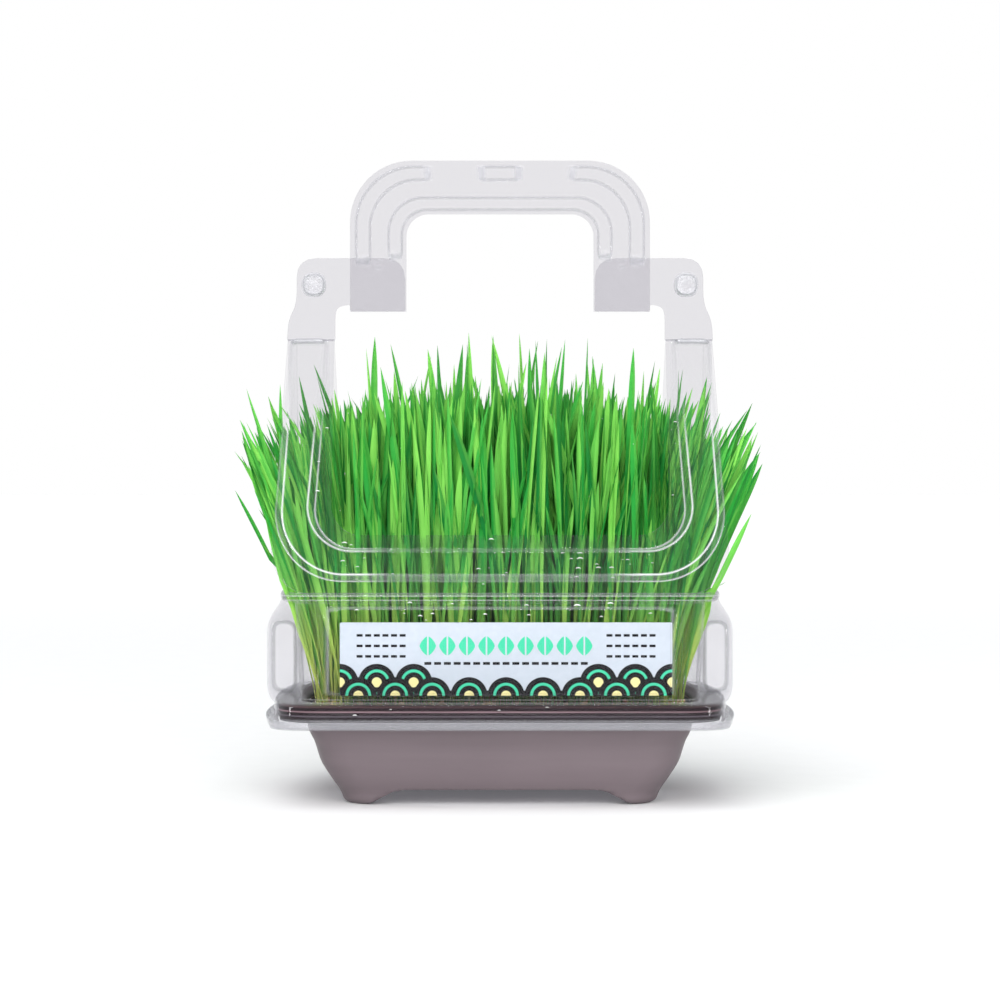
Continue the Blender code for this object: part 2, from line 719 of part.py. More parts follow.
def main():
    clear_scene()
    collection = make_collection("wheatgrass_tray")
    brown = make_material("tray_plastic", (0.22, 0.17, 0.16), 0.5)
    clear = make_material("clear_sheet", (0.93, 0.93, 0.95), 0.08, 0.2)
    green = make_material("grass", (0.10, 0.42, 0.06), 0.45)
    roots = make_material("roots", (0.55, 0.46, 0.32), 0.9)
    paper = make_material("card", (0.88, 0.93, 0.96), 0.6)
    tray = build_tray(collection)
    tray.data.materials.append(brown)
    build_root_mat(collection).data.materials.append(roots)
    front = build_carrier(collection)
    back = add_object("carrier_back", front.data, collection)
    leaf = build_handle(collection)
    back_leaf = add_object("handle_back", leaf.data, collection)
    back_leaf.location = (0, HINGE_Y, HINGE_Z)
    for thing in (back, back_leaf):
        thing.rotation_euler = (0, 0, math.pi)
    for thing in (front, leaf):
        thing.data.materials.append(clear)
    build_card(collection).data.materials.append(paper)
    bpy.context.view_layer.update()
    obstacles = [tree_of(thing) for thing in (tray, front, back)]
    build_grass(collection, green, obstacles)


main()
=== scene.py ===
"""Looks of a tray of growing wheatgrass in its clear carrier: moulded tray, seeds and roots, blades,
clear formed sheets with their ribs, folding handle, printed card, water drops and a pale studio.
"""

import math

import bmesh
import bpy
import numpy as np
from bpy.props import FloatProperty, FloatVectorProperty, IntProperty, PointerProperty
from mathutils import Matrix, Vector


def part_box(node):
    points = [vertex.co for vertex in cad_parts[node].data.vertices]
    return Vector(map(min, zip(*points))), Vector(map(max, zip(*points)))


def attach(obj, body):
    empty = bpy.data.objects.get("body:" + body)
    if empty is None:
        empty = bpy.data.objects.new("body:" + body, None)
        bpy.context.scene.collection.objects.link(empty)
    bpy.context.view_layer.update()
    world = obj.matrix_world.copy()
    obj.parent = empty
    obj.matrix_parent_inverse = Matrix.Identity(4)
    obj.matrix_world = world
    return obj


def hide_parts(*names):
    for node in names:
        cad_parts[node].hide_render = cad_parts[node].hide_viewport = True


bl_info = {
    "name": "Wheatgrass tray looks",
    "version": (1, 0, 0),
    "blender": (4, 5, 0),
    "location": "3D View > Sidebar > Wheatgrass",
    "description": "Dresses a wheatgrass tray and its clear carrier",
    "category": "Object",
}

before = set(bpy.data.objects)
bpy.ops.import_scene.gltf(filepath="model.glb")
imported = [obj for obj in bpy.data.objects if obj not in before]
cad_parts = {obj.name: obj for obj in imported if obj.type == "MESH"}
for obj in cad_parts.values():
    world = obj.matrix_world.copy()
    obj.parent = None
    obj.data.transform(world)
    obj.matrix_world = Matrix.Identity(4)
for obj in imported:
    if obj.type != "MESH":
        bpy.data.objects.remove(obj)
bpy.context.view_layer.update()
RIM_X, RIM_Y, RIM_TOP = np.array(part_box("tray")[1])
LEAF_BOX = [np.array(corner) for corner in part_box("handle_front")]
CARD_BOX = [np.array(corner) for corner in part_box("card_insert")]
GRASS_NODES = sorted(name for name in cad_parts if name.startswith("grass_"))
HOLDER = "holder"
HALVES = (("front", "front_handle", np.ones(3)), ("back", "back_handle", np.array([-1.0, -1.0, 1.0])))

# Tray: half width and height of the outside, from the foot to the underside of the rim
TRAY_OUTSIDE = np.array([
    (0.0702, 0.0),
    (0.0722, 0.0018),
    (0.0730, 0.0050),
    (0.0764, 0.0100),
    (0.0810, 0.0175),
    (0.0838, 0.0270),
    (0.0860, 0.0310),
    (0.0872, 0.0360),
    (0.0876, 0.0432),
])
UNDER_RIM = TRAY_OUTSIDE[-1][1]
LIP_BOTTOM = RIM_TOP - 0.0070
RIM_PROFILE = [
    (RIM_X - 0.0018, UNDER_RIM),
    (RIM_X - 0.0018, LIP_BOTTOM),
    (RIM_X - 0.0004, LIP_BOTTOM),
    (RIM_X - 0.0006, RIM_TOP - 0.0032),
    (RIM_X, RIM_TOP - 0.0028),
    (RIM_X, RIM_TOP - 0.0012),
    (RIM_X - 0.0014, RIM_TOP),
]
RIM_RADIUS = 0.018
RIM_BOW = 0.006
TRAY_WALL = 0.0016
TRAY_ROUNDING = 0.0024
INSIDE_BENDS = (0.0360, 0.0310, 0.0270, 0.0175, 0.0115)
FLOOR_TOP, FLOOR_ROUND = 0.0091, 0.003
FOOT_HEIGHT, FOOT_BREADTH = 0.0068, 0.003
UNDERSIDE = 0.0075
FOOT_CORNER = (0.060, 0.030)
FOOT_RAMP = (0.017, 0.008)
# Painted shade: the heights over which the tray turns dark, from the wall below the lip up over the
# rim
RIM_SHADE_BAND = (LIP_BOTTOM - 0.0044, LIP_BOTTOM - 0.0032)

# Painted highlights along the rim's mouldings: height and colour
RIM_PAINTED_HIGHLIGHTS = (
    (RIM_TOP - 0.0002, (0.10, 0.055, 0.060)),
    (RIM_TOP - 0.0022, (0.30, 0.19, 0.21)),
    (RIM_TOP - 0.0042, (0.10, 0.08, 0.10)),
    (RIM_TOP - 0.0082, (0.22, 0.19, 0.22)),
)

# Mat and grass: heights of the mat's sides; a blade's rows from foot to tip; pairs that give the
# range in which each blade draws its own number; and parts of all the blades
SEED_TOP = RIM_TOP - 0.0017
MAT_HEIGHTS = (0.0120, 0.0175, 0.0270, 0.0310, 0.0360)
MAT_GAP = 0.0006
MAT_BORDER, MAT_MIDDLE, MAT_LEVEL = SEED_TOP - 0.0025, SEED_TOP - 0.0015, SEED_TOP - 0.0022
RIPPLE_HEIGHT, RIPPLE_SCALE = 0.0011, 420
MOUTH_CORNER = 0.014
MOUTH_BOW = 0.004
BLADE_ROWS = np.array([0, 0.1, 0.24, 0.38, 0.52, 0.66, 0.76, 0.83, 0.88, 0.92, 0.955, 0.982, 1])
BLADE_COLUMNS = 5
GRASS_HALF = (0.0855, 0.056)
SHORT_LENGTH, USUAL_LENGTH, TALL_LENGTH = (0.40, 0.84), (0.80, 0.92), (0.94, 1.05)
SHORT_PART, SHORT_PART_IN_FRONT, TALL_FROM = 0.46, 0.14, 0.975
FANNED_PART, ASKEW_PART = 0.52, 0.2
TUFT_AT, TUFT_REACH, TUFT_EXTRA = -0.70, 0.08, 0.12
FANNED_LEAN, UPRIGHT_LEAN, ASKEW_LEAN = (0.034, 0.050), (0.002, 0.020), (0.022, 0.010)
FANNED_POWER, UPRIGHT_POWER = (1.4, 1.9), (1.1, 1.8)
END_LENGTH_LOSS, END_POWER_LOSS, END_FROM = 0.17, 0.4, 0.8
FORWARD_LEAN, FORWARD_SPREAD, CURL_SPREAD = 0.006, 0.010, 0.0022
FACING_SPREAD, TWIST = 0.6, (-1.1, 1.1)
TIP_REACH = (0.108, 0.1215)
HALF_WIDTH, LONG_EXTRA, LONG_FROM = (0.15, 0.43), 0.06, 0.8
FOOT_SHARE, SWELL, KEEL = 0.18, (0.10, 0.64), 0.55
TAPER_START, TAPER_POWER = 0.78, (1.8, 3.6)
OUTER_FILL = 0.90
ROOTED_BELOW, TIP_DROP = 0.0015, 0.10
# Painted shade of the grass: half size of the mass and the border over which it darkens inward,
# heights over which it fades upward; then the heights and |x| over which the painted shade at the
# blades' feet fades
PAINTED_SHADE_HALF, PAINTED_SHADE_BORDER, PAINTED_SHADE_HEIGHTS = (0.094, 0.064), (0.008, 0.030), (0.106, 0.194)
FOOT_SHADE_HEIGHTS, FOOT_SHADE_END = (0.002, 0.016), (0.062, 0.070)
DEW_A_BUNCH, DEW_CORNERS, DEW_FROM_Y = 26, (20, 60), 0.02
BLADE_MARGIN, SEED_MARGIN = 0.0012, 0.0034

# How the carrier holds the grass: |x| and height from which an arm is passed, |y| of the wall, of
# the opening and behind the leaning sheet, |x| of the box's ends, and how it widens with height
ARM_X, ARM_BORDER = (0.067, 0.111), 0.003
ARM_BOTTOM = (0.096, 0.104)
OPENING_BOTTOM = (0.112, 0.120)
WALL_HOLD, LEAN_GAP, LEAST_HOLD = 0.0606, 0.0036, 0.0022
OPENING_HOLD, OPENING_SPREAD = 0.0495, 0.16
END_HOLD = 0.0886
END_SPREAD, END_RISE = 0.0028, (0.05, 0.09)
FREE_SPREAD, LEDGE_RISE = 0.07, (0.094, 0.108)
FREE_X, FREE_Y = 0.94, 0.82

# Carrier: half width, half depth, corner radius, bow of the side and height of each bend
BOX_ROWS = np.array([
    (0.1046, 0.0760, 0.016, 0.0080, 0.0389),
    (0.1040, 0.0754, 0.016, 0.0080, 0.0356),
    (0.1014, 0.0720, 0.018, 0.0065, 0.0362),
    (0.0990, 0.0696, 0.018, 0.0062, 0.0373),
    (0.1008, 0.0712, 0.018, 0.0060, 0.0384),
    (0.1008, 0.0712, 0.018, 0.0060, 0.0400),
    (0.1006, 0.0711, 0.018, 0.0060, 0.0454),
    (0.0996, 0.0702, 0.018, 0.0060, 0.0462),
    (0.0898, 0.0638, 0.010, 0.0045, 0.0463),
    (0.0890, 0.0630, 0.010, 0.0040, 0.0476),
    (0.0891, 0.0630, 0.010, 0.0040, 0.0492),
    (0.0919, 0.0630, 0.010, 0.0045, 0.0880),
    (0.0920, 0.0630, 0.010, 0.0045, 0.0894),
    (0.0978, 0.0654, 0.008, 0.0050, 0.0904),
    (0.0980, 0.0656, 0.008, 0.0050, 0.0926),
    (0.0950, 0.0610, 0.008, 0.0050, 0.0934),
])
# Painted highlight of each bend of the box: how strongly its crease is painted white
BOX_CREASE_HIGHLIGHTS = (0, 0, 0, 0, 0, 0, 0, 0.3, 0.2, 0, 0, 0.2, 0.4, 0.4)
BOX_ROUNDING = 0.0011
HALF_GAP = 0.0003
FLANGE_TOP = 0.0400
FLANGE_MILK = 0.17

# Label pocket: the box's bends below and above it, its half width in columns and in metres, and how
# far in, how far forward and how much painted frost each of its loops has, for the grey lines along
# its steep walls
POCKET_BENDS = (10, 11)
POCKET_COLUMNS = 12
POCKET_X = 0.0752
LEAST_STEP = 0.0002
POCKET_RADIUS, POCKET_ROUNDED_AT = 0.0034, 0.0006
POCKET_STEPS = (
    (0.0, 0.0, 0.0),
    (0.0003, 0.0004, 0.12),
    (0.0007, 0.0016, 0.22),
    (0.0010, 0.0026, 0.12),
    (0.0015, 0.0031, 0.0),
)

# Ears: outline in x and z, then the raised panel's corners and its steps as for the pocket
EAR_OUTLINE = np.array([
    (0.0888, 0.0461),
    (0.0996, 0.0461),
    (0.1009, 0.0405),
    (0.1036, 0.0425),
    (0.1055, 0.0470),
    (0.1055, 0.0760),
    (0.1040, 0.0805),
    (0.1010, 0.0850),
    (0.0985, 0.0888),
    (0.0982, 0.0912),
    (0.0905, 0.0912),
])
EAR_ROUNDING = 0.002
EAR_PANEL = np.array([(0.0925, 0.0465), (0.1034, 0.0783)])
EAR_PANEL_RADIUS = 0.0045
EAR_STEPS = (
    (-0.0006, 0.0, 0.1),
    (0.0, 0.0004, 0.25),
    (0.0004, 0.0022, 0.15),
    (0.0008, 0.0028, 0.25),
    (0.0014, 0.0030, 0.0),
)
PLATE_Y = -0.00045

# Leaning frame: y and z of its foot and head; contours give half width below and above, bottom
# height, corner radius and rib height
FRAME_FOOT = np.array([-0.0620, 0.0960])
FRAME_HEAD = np.array([-0.0005, 0.2060])
FRAME_CONTOURS = (
    (0.0740, 0.0752, 0.1180, 0.014, 0.0),
    (0.0812, 0.0778, 0.1120, 0.018, 0.0),
    (0.0838, 0.0796, 0.1096, 0.020, 0.0045),
    (0.0952, 0.0930, 0.0994, 0.028, 0.0045),
    (0.0982, 0.0952, 0.0985, 0.031, 0.0),
    (0.0992, 0.0962, 0.0930, 0.019, 0.0),
)
# Painted highlight of each bend of the frame: how strongly its crease is painted white
FRAME_CREASE_HIGHLIGHTS = (0.55, 0.75, 0.75, 0.55)
FRAME_ROUNDING = 0.0016
FRAME_BEND_STEPS = 8
RIB_MIDDLE = 0.0895
RIB_CORNER = 0.0036
RIB_HEAD_SLOPE = 0.0024
RIB_HEAD_DRAW = 0.6
# The frame's faint haze; then painted frost on the foot's outer wall and on the walls at the rib's
# heads, for the grey and white lines of light there
FRAME_MILK, FOOT_WALL_PAINTED_FROST, HEAD_WALL_PAINTED_FROST = 0.007, 0.13, 0.6
FOOT_WALL_BENDS, RIB_BENDS = (2.6, 3.5), (1.6, 3.4)

# Arm tops: outline in x and z with the radius of each corner; then radius, rise, painted frost and
# painted crease highlight of each loop of a button
TOP_OUTLINE = np.array([
    (0.0748, 0.2054),
    (0.0748, 0.2180),
    (0.0735, 0.2208),
    (0.0700, 0.2218),
    (0.0680, 0.2218),
    (0.0680, 0.2189),
    (0.0430, 0.2189),
    (0.0430, 0.2430),
    (0.0922, 0.2430),
    (0.0922, 0.2225),
    (0.0960, 0.2150),
    (0.0966, 0.2054),
])
TOP_RADII = (0.001, 0.004, 0.004, 0.001, 0.001, 0.001, 0.001, 0.010, 0.009, 0.006, 0.006, 0.001)
BUTTON_AT = np.array([0.0845, 0.2310])
BUTTON_LOBE = 0.00018
BUTTON_STEPS = (
    (0.0054, 0.0, 0.0, 0.0),
    (0.0051, 0.0004, 0.2, 0.5),
    (0.0048, 0.0014, 0.6, 0.0),
    (0.0043, 0.0020, 0.1, 0.25),
    (0.0024, 0.0017, 0.0, 0.3),
)

# Handle leaf: arches inside and outside, and its ribs as shares of the band between them
LEG_X = (0.0425, 0.0680)
GRIP_BOTTOM = 0.2630
LEAF_OUTER_RADIUS = 0.028
LEAF_INNER_RADIUS = 0.010
# Painted frost along the ribs' steep sides, for the grey lines of light there
LEAF_PAINTED_FROST = 0.26
RIB_HEIGHT, LUG_HEIGHT = 0.0024, 0.0012
INNER_RIB, OUTER_RIB, RIB_EDGE = (0.085, 0.315), (0.645, 0.895), 0.022
INNER_RIB_FOOT, OUTER_RIB_FOOT = (0.2425, 0.2450), (0.2405, 0.2430)
RIB_CORNER_START, RIB_CENTRE_END = (0.0318, 0.0338), (0.0078, 0.0094)
LUG_ACROSS, LUG_HEIGHTS = (0.42, 0.58, 0.03), (0.2392, 0.2418, 0.0008)

# Water drops: half the width they fall in, then heights of each zone and depths of two of them
DROP_X = 0.070
SKIRT_ZONE, WALL_ZONE, FOOT_ZONE = (0.0400, 0.0450), (0.0800, 0.0895), (0.0955, 0.1172)
ARM_ZONE_X, ARM_ZONE = (0.0755, 0.0805), (0.125, 0.200)
SKIRT_Y, WALL_Y, SHEET_GAP = -0.0716, -0.0664, 0.0003
FRAME_PART, SKIRT_PART, ARM_PART = 0.7, 0.12, 0.2

# Card: corner radius, bevel of its edge and the half height that the bevel is a share of
CARD_RADIUS, CARD_BEVEL, CARD_HALF = 0.0008, 0.00008, 0.015


def colour_setting(name, description, default):
    return FloatVectorProperty(
        name=name, description=description, subtype="COLOR", size=3, min=0, max=1, default=default
    )


def number_setting(kind, name, description, default, low, high, **more):
    return kind(name=name, description=description, default=default, min=low, max=high, **more)


def length_setting(name, description, default, low, high):
    return number_setting(FloatProperty, name, description, default, low, high, unit="LENGTH")


class TrayLook(bpy.types.PropertyGroup):
    colour: colour_setting("Tray colour", "Moulded plastic of the tray", (0.170, 0.138, 0.150))
    roughness: number_setting(
        FloatProperty, "Roughness", "Dullness of the moulded plastic", 0.42, 0, 1
    )


class GrassLook(bpy.types.PropertyGroup):
    blades: number_setting(
        IntProperty, "Blades", "How many blades grow in the whole tray", 3000, 100, 4000
    )
    seeds: number_setting(IntProperty, "Seeds", "How many seeds lie on the mat", 1300, 0, 3000)
    length: length_setting("Length", "Length of the tallest blades", 0.160, 0.05, 0.17)
    width: length_setting("Width", "Width of a blade at its widest", 0.0042, 0.001, 0.01)
    green: colour_setting("Leaf green", "Colour of a grown blade", (0.023, 0.365, 0.052))
    pale: colour_setting("Pale green", "Colour of young and sunlit blades", (0.25, 0.68, 0.11))


class CarrierLook(bpy.types.PropertyGroup):
    thickness: length_setting("Sheet", "Thickness of the formed sheet", 0.0005, 0.0002, 0.001)
    tint: colour_setting("Tint", "Light let through by each face of the sheet", (0.947, 0.944, 0.952))
    drops: number_setting(IntProperty, "Drops", "Water drops on the front of the sheet", 60, 0, 500)


class CardLook(bpy.types.PropertyGroup):
    ground: colour_setting("Ground", "Colour of the bare card", (0.53, 0.59, 0.645))
    ink: colour_setting("Ink", "Dark printed colour", (0.007, 0.006, 0.008))
    accent: colour_setting("Accent", "Bright printed colour", (0.06, 0.62, 0.35))
    second: colour_setting("Second accent", "Pale printed colour", (0.86, 0.80, 0.36))


class StageLook(bpy.types.PropertyGroup):
    distance: length_setting(
        "Camera distance", "From the camera to the middle of the tray", 1.2, 0.3, 5
    )
    eye: length_setting("Camera height", "Height of the camera above the ground", 0.1410, 0, 1)
    field: length_setting("Field", "Width seen at the middle of the tray", 0.454, 0.2, 2)
    glow: number_setting(FloatProperty, "Surround", "Light from the white surround", 0.6, 0, 3)
    sun: number_setting(FloatProperty, "Panel", "Light from the large panel overhead", 1.7, 0, 20)


# Numbers and shapes


def smooth(value, low=0.0, high=1.0):
    """3t^2 - 2t^3 of the share of the way from low to high, held within 0 and 1."""
    share = np.clip((value - low) / (high - low), 0, 1)
    return share * share * (3 - 2 * share)


def strip_mask(value, low, high, soft):
    """1 between low and high, falling to 0 over a soft border."""
    return smooth(value, low - soft, low + soft) * (1 - smooth(value, high - soft, high + soft))


def soften(rows, reach, steps=4):
    """Rounds a run of points or rows: each bend becomes a parabola that starts and ends `reach` away
    from it, or 45% of the way to its neighbour where that is nearer. `reach` may differ by bend."""
    rows = np.asarray(rows, float)
    reach = np.broadcast_to(reach, (len(rows),))
    t = np.linspace(0, 1, steps + 1)
    t = t.reshape(-1, *[1] * (rows.ndim - 1))
    out = [rows[:1]]
    for k in range(1, len(rows) - 1):
        sides = []
        for other in (rows[k - 1], rows[k + 1]):
            away = other - rows[k]
            length = np.linalg.norm(away, axis=-1, keepdims=True)
            sides.append(rows[k] + away * np.minimum(0.45, reach[k] / np.maximum(length, 1e-9)))
        out.append((1 - t) ** 2 * sides[0] + 2 * t * (1 - t) * rows[k] + t**2 * sides[1])
    out.append(rows[-1:])
    return np.concatenate(out)


def soften_loop(points, reach, steps=4):
    """The same rounding for a closed outline."""
    around = np.concatenate([points[-1:], points, points[:1]])
    reach = np.broadcast_to(reach, (len(points),))
    reach = np.concatenate([reach[-1:], reach, reach[:1]])
    return soften(around, reach, steps)[1:-1]


def middle_row(bend, steps=4):
    """The row of a softened run that lies in the middle of a bend."""
    return 1 + (bend - 1) * (steps + 1) + steps // 2


def bend_highlights(count, strengths, steps=4):
    """How strongly each row of a softened run shows the painted highlight of a crease: a narrow peak
    in each bend.
    """
    peak = np.sin(np.linspace(0, math.pi, steps + 1)) ** 10
    inner = (np.asarray(strengths)[:, None] * peak[None]).reshape(-1)
    return np.concatenate([[0.0], inner, [0.0]])[:count]


def quarter_plan(half_x, half_y, radius, bow, side=8, arc=10, flat=(2, POCKET_COLUMNS)):
    """A quarter of a tray outline. The side is half_x - bow (y / half_y)^2, then comes a quarter
    circle of the corner radius, then the straight front, whose steps change at the pocket's edge."""
    straight = half_y - radius
    y = np.linspace(0, straight, side, endpoint=False)
    x = half_x - bow * (y / half_y) ** 2
    centre = half_x - bow * (straight / half_y) ** 2 - radius
    a = np.linspace(0, math.pi / 2, arc + 1)
    border = min(centre - LEAST_STEP, POCKET_X)
    outer = np.linspace(centre, border, flat[0] + 1)[1:]
    inner = np.linspace(border, 0, flat[1] + 1)[1:]
    front_x = np.concatenate([outer, inner])
    x = np.concatenate([x, centre + radius * np.cos(a), front_x])
    y = np.concatenate([y, straight + radius * np.sin(a), np.full(len(front_x), half_y)])
    return np.stack([x, y], axis=1)


def mirrored(right):
    """A run of points from the right end to the middle, carried on to the left end."""
    left = right.copy()
    left[:, 0] *= -1
    return np.concatenate([right, left[-2::-1]])


def half_plan(row):
    """The front half of an outline at one height: right end, round the front, left end. It starts
    just short of the middle plane, where the other half begins."""
    quarter = quarter_plan(*row[:4])
    quarter[0, 1] = HALF_GAP
    both = mirrored(quarter * (1, -1))
    return np.column_stack([both, np.full(len(both), row[4])])


def whole_plan(half_x, half_y, radius, bow, z):
    """A closed outline at one height, anticlockwise from above."""
    q = quarter_plan(half_x, half_y, radius, bow)
    loop = np.concatenate([q, (q * (-1, 1))[-2::-1], (q * (-1, -1))[1:], (q * (1, -1))[-2:0:-1]])
    return np.column_stack([loop, np.full(len(loop), z)])


def tray_plan(half_x, z):
    """The tray's outline where it is this wide: the rim's own, drawn in evenly."""
    inset = RIM_X - half_x
    return whole_plan(half_x, RIM_Y - inset, RIM_RADIUS - 0.15 * inset, RIM_BOW, z)


def tray_inside(z):
    """Half width of the tray's inside at a height."""
    return np.interp(z, TRAY_OUTSIDE[:, 1], TRAY_OUTSIDE[:, 0]) - TRAY_WALL


def grid_quads(rows, columns, around=False):
    """Corner numbers of the quads over rows of points; `around` joins the last column to the first."""
    r = np.arange(rows - 1)[:, None] * columns
    c = np.arange(columns if around else columns - 1)[None, :]
    after = (c + 1) % columns
    corners = (r + c, r + after, r + columns + after, r + columns + c)
    return np.stack(np.broadcast_arrays(*corners), axis=-1)


# Meshes


def add_object(name, data):
    item = bpy.data.objects.new(name, data)
    bpy.context.scene.collection.objects.link(item)
    return item


class Net:
    """Gathers grids and outlines of one piece, then makes its mesh in one go."""

    def __init__(self):
        self.points, self.faces, self.values, self.count = [], [], {}, 0

    def add_points(self, points, values=None):
        """Each value is spread over the points, so that it may be one number for each row."""
        start, spread = self.count, points.shape[:-1]
        self.points.append(points.reshape(-1, 3))
        self.count += len(self.points[-1])
        for name, value in (values or {}).items():
            full = np.broadcast_to(value, spread).reshape(-1)
            self.values.setdefault(name, []).append((start, full))
        return start

    def grid(self, points, around=False, keep=None, values=None, flip=False):
        """Quads over points[rows, columns]; `keep` leaves out the quads where it is false."""
        quads = grid_quads(*points.shape[:2], around) + self.add_points(points, values)
        quads = quads[keep] if keep is not None else quads.reshape(-1, 4)
        self.faces += (quads[:, ::-1] if flip else quads).tolist()

    def outline(self, points, flip=False):
        """One flat face with many corners."""
        start = self.add_points(points)
        face = list(range(start, start + len(points)))
        self.faces.append(face[::-1] if flip else face)

    def loops(self, loops, values=None, flip=False, both_ends=False):
        """Closed loops joined in a row, with a face over the last one, or over both ends."""
        self.grid(loops, around=True, values=values, flip=flip)
        if both_ends:
            self.outline(loops[0], not flip)
        self.outline(loops[-1], flip)

    def copies(self, points, parts, values=None):
        """Many alike shapes: points[shape, ...] with the same runs of faces in each."""
        start = self.add_points(points, values)
        each = np.arange(len(points))[:, None, None] * (points[0].size // 3)
        for part in parts:
            faces = part.reshape(-1, part.shape[-1])[None] + each + start
            self.faces += faces.reshape(-1, part.shape[-1]).tolist()

    def make(self, name, materials, body, weld=False, recalculate=False):
        mesh = bpy.data.meshes.new(name)
        mesh.from_pydata(np.concatenate(self.points), [], self.faces)
        mesh.shade_smooth()
        for name_of_value, runs in self.values.items():
            full = np.zeros(self.count)
            for start, value in runs:
                full[start : start + len(value)] = value
            mesh.attributes.new(name_of_value, "FLOAT", "POINT").data.foreach_set("value", full)
        if weld or recalculate:
            work = bmesh.new()
            work.from_mesh(mesh)
            if weld:
                bmesh.ops.remove_doubles(work, verts=work.verts, dist=2e-6)
            if recalculate:
                bmesh.ops.recalc_face_normals(work, faces=work.faces)
            work.to_mesh(mesh)
            work.free()
        for material in materials:
            mesh.materials.append(material)
        mesh.validate()
        piece = add_object(name, mesh)
        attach(piece, body)
        return piece


def thicken(piece, thickness, degrees):
    """Gives an open sheet its two faces, with the second material on its cut edge, then keeps the
    edges sharper than the angle."""
    wall = piece.modifiers.new("sheet", "SOLIDIFY")
    wall.thickness = thickness
    wall.offset = 0.0
    wall.use_even_offset = True
    wall.material_offset_rim = 1
    shaped = piece.evaluated_get(bpy.context.evaluated_depsgraph_get())
    mesh = bpy.data.meshes.new_from_object(shaped)
    piece.modifiers.clear()
    piece.data = mesh
    sharpen(piece, degrees)


def sharpen(piece, degrees):
    piece.data.shade_smooth()
    piece.data.set_sharp_from_angle(angle=math.radians(degrees))


# Shader maths


def math_method(operation, swapped=False):
    """A method of Value that adds one Math node; `swapped` puts the value last."""

    def method(self, *others):
        operands = (*others, self) if swapped else (self, *others)
        node = self.paint.node("ShaderNodeMath", {"operation": operation}, dict(enumerate(operands)))
        return Value(self.paint, node.outputs[0])

    return method


class Value:
    """A socket in an expression. Each operator adds its Math node."""

    def __init__(self, paint, socket):
        self.paint, self.socket = paint, socket

    __add__ = __radd__ = math_method("ADD")
    __sub__ = math_method("SUBTRACT")
    __rsub__ = math_method("SUBTRACT", swapped=True)
    __mul__ = __rmul__ = math_method("MULTIPLY")
    __truediv__ = math_method("DIVIDE")
    __pow__ = math_method("POWER")
    __lt__ = math_method("LESS_THAN")
    __gt__ = math_method("GREATER_THAN")
    __abs__ = math_method("ABSOLUTE")
    sine = math_method("SINE")
    floor = math_method("FLOOR")
    least = math_method("MINIMUM")
    most = math_method("MAXIMUM")

    def held(self):
        """Kept within 0 and 1."""
        return self.least(1.0).most(0.0)

    def repeat(self, period):
        """The rest after whole periods, counted from the nearest one."""
        return self - (self / period + 0.5).floor() * period

    def rise(self, low, high):
        """0 below low, 1 above high, smooth between."""
        settings = {"interpolation_type": "SMOOTHSTEP"}
        node = self.paint.node("ShaderNodeMapRange", settings, {"Value": self, 1: low, 2: high})
        return Value(self.paint, node.outputs[0])

    def near(self, middle, reach):
        """1 within reach of the middle, 0 elsewhere."""
        return abs(self - middle) < reach


class Paint:
    """A new material and the nodes in it."""

    def __init__(self, name):
        self.material = bpy.data.materials.new(name)
        self.material.use_nodes = True
        self.tree = self.material.node_tree
        self.tree.nodes.clear()

    def node(self, kind, settings=None, inputs=None):
        """A new node: its settings first, then a value or a link for each socket."""
        node = self.tree.nodes.new(kind)
        for name, value in (settings or {}).items():
            setattr(node, name, value)
        for key, value in (inputs or {}).items():
            socket = node.inputs[key]
            if isinstance(value, Value):
                value = value.socket
            elif isinstance(value, bpy.types.Node):
                value = value.outputs[0]
            if isinstance(value, bpy.types.NodeSocket):
                self.tree.links.new(value, socket)
            elif hasattr(value, "__len__") and len(value) == 3 and len(socket.default_value) == 4:
                socket.default_value = (*value, 1.0)
            else:
                socket.default_value = value
        return node

    def split(self, vector):
        """A vector's parts as three values."""
        return [Value(self, s) for s in self.node("ShaderNodeSeparateXYZ", {}, {0: vector}).outputs]

    def spot(self):
        return self.node("ShaderNodeTexCoord").outputs["Object"]

    def noise(self, scale, detail=2.0, stretch=(1, 1, 1)):
        spot = self.node("ShaderNodeMapping", {}, {"Vector": self.spot(), "Scale": stretch})
        inputs = {"Vector": spot, "Scale": scale, "Detail": detail}
        return Value(self, self.node("ShaderNodeTexNoise", {}, inputs).outputs[0])

    def attribute(self, name):
        return Value(self, self.node("ShaderNodeAttribute", {"attribute_name": name}).outputs["Fac"])

    def away(self):
        """How far a face turns away from the eye."""
        return Value(self, self.node("ShaderNodeLayerWeight", {}, {"Blend": 0.5}).outputs["Facing"])

    def mix(self, share, first, second):
        """A colour between two others."""
        inputs = {0: share, 6: first, 7: second}
        return self.node("ShaderNodeMix", {"data_type": "RGBA"}, inputs).outputs[2]

    def bump(self, height, distance, strength=1.0):
        inputs = {"Height": height, "Distance": distance, "Strength": strength}
        return self.node("ShaderNodeBump", {}, inputs).outputs[0]

    def principled(self, **inputs):
        named = {key.replace("_", " "): value for key, value in inputs.items()}
        return self.node("ShaderNodeBsdfPrincipled", {}, named)

    def clear(self, tint):
        return self.node("ShaderNodeBsdfTransparent", {}, {"Color": tint})

    def blend(self, share, first, second):
        """A shader between two others."""
        return self.node("ShaderNodeMixShader", {}, {0: share, 1: first, 2: second})

    def finish(self, shader):
        self.node("ShaderNodeOutputMaterial", {}, {"Surface": shader})
        return self.material


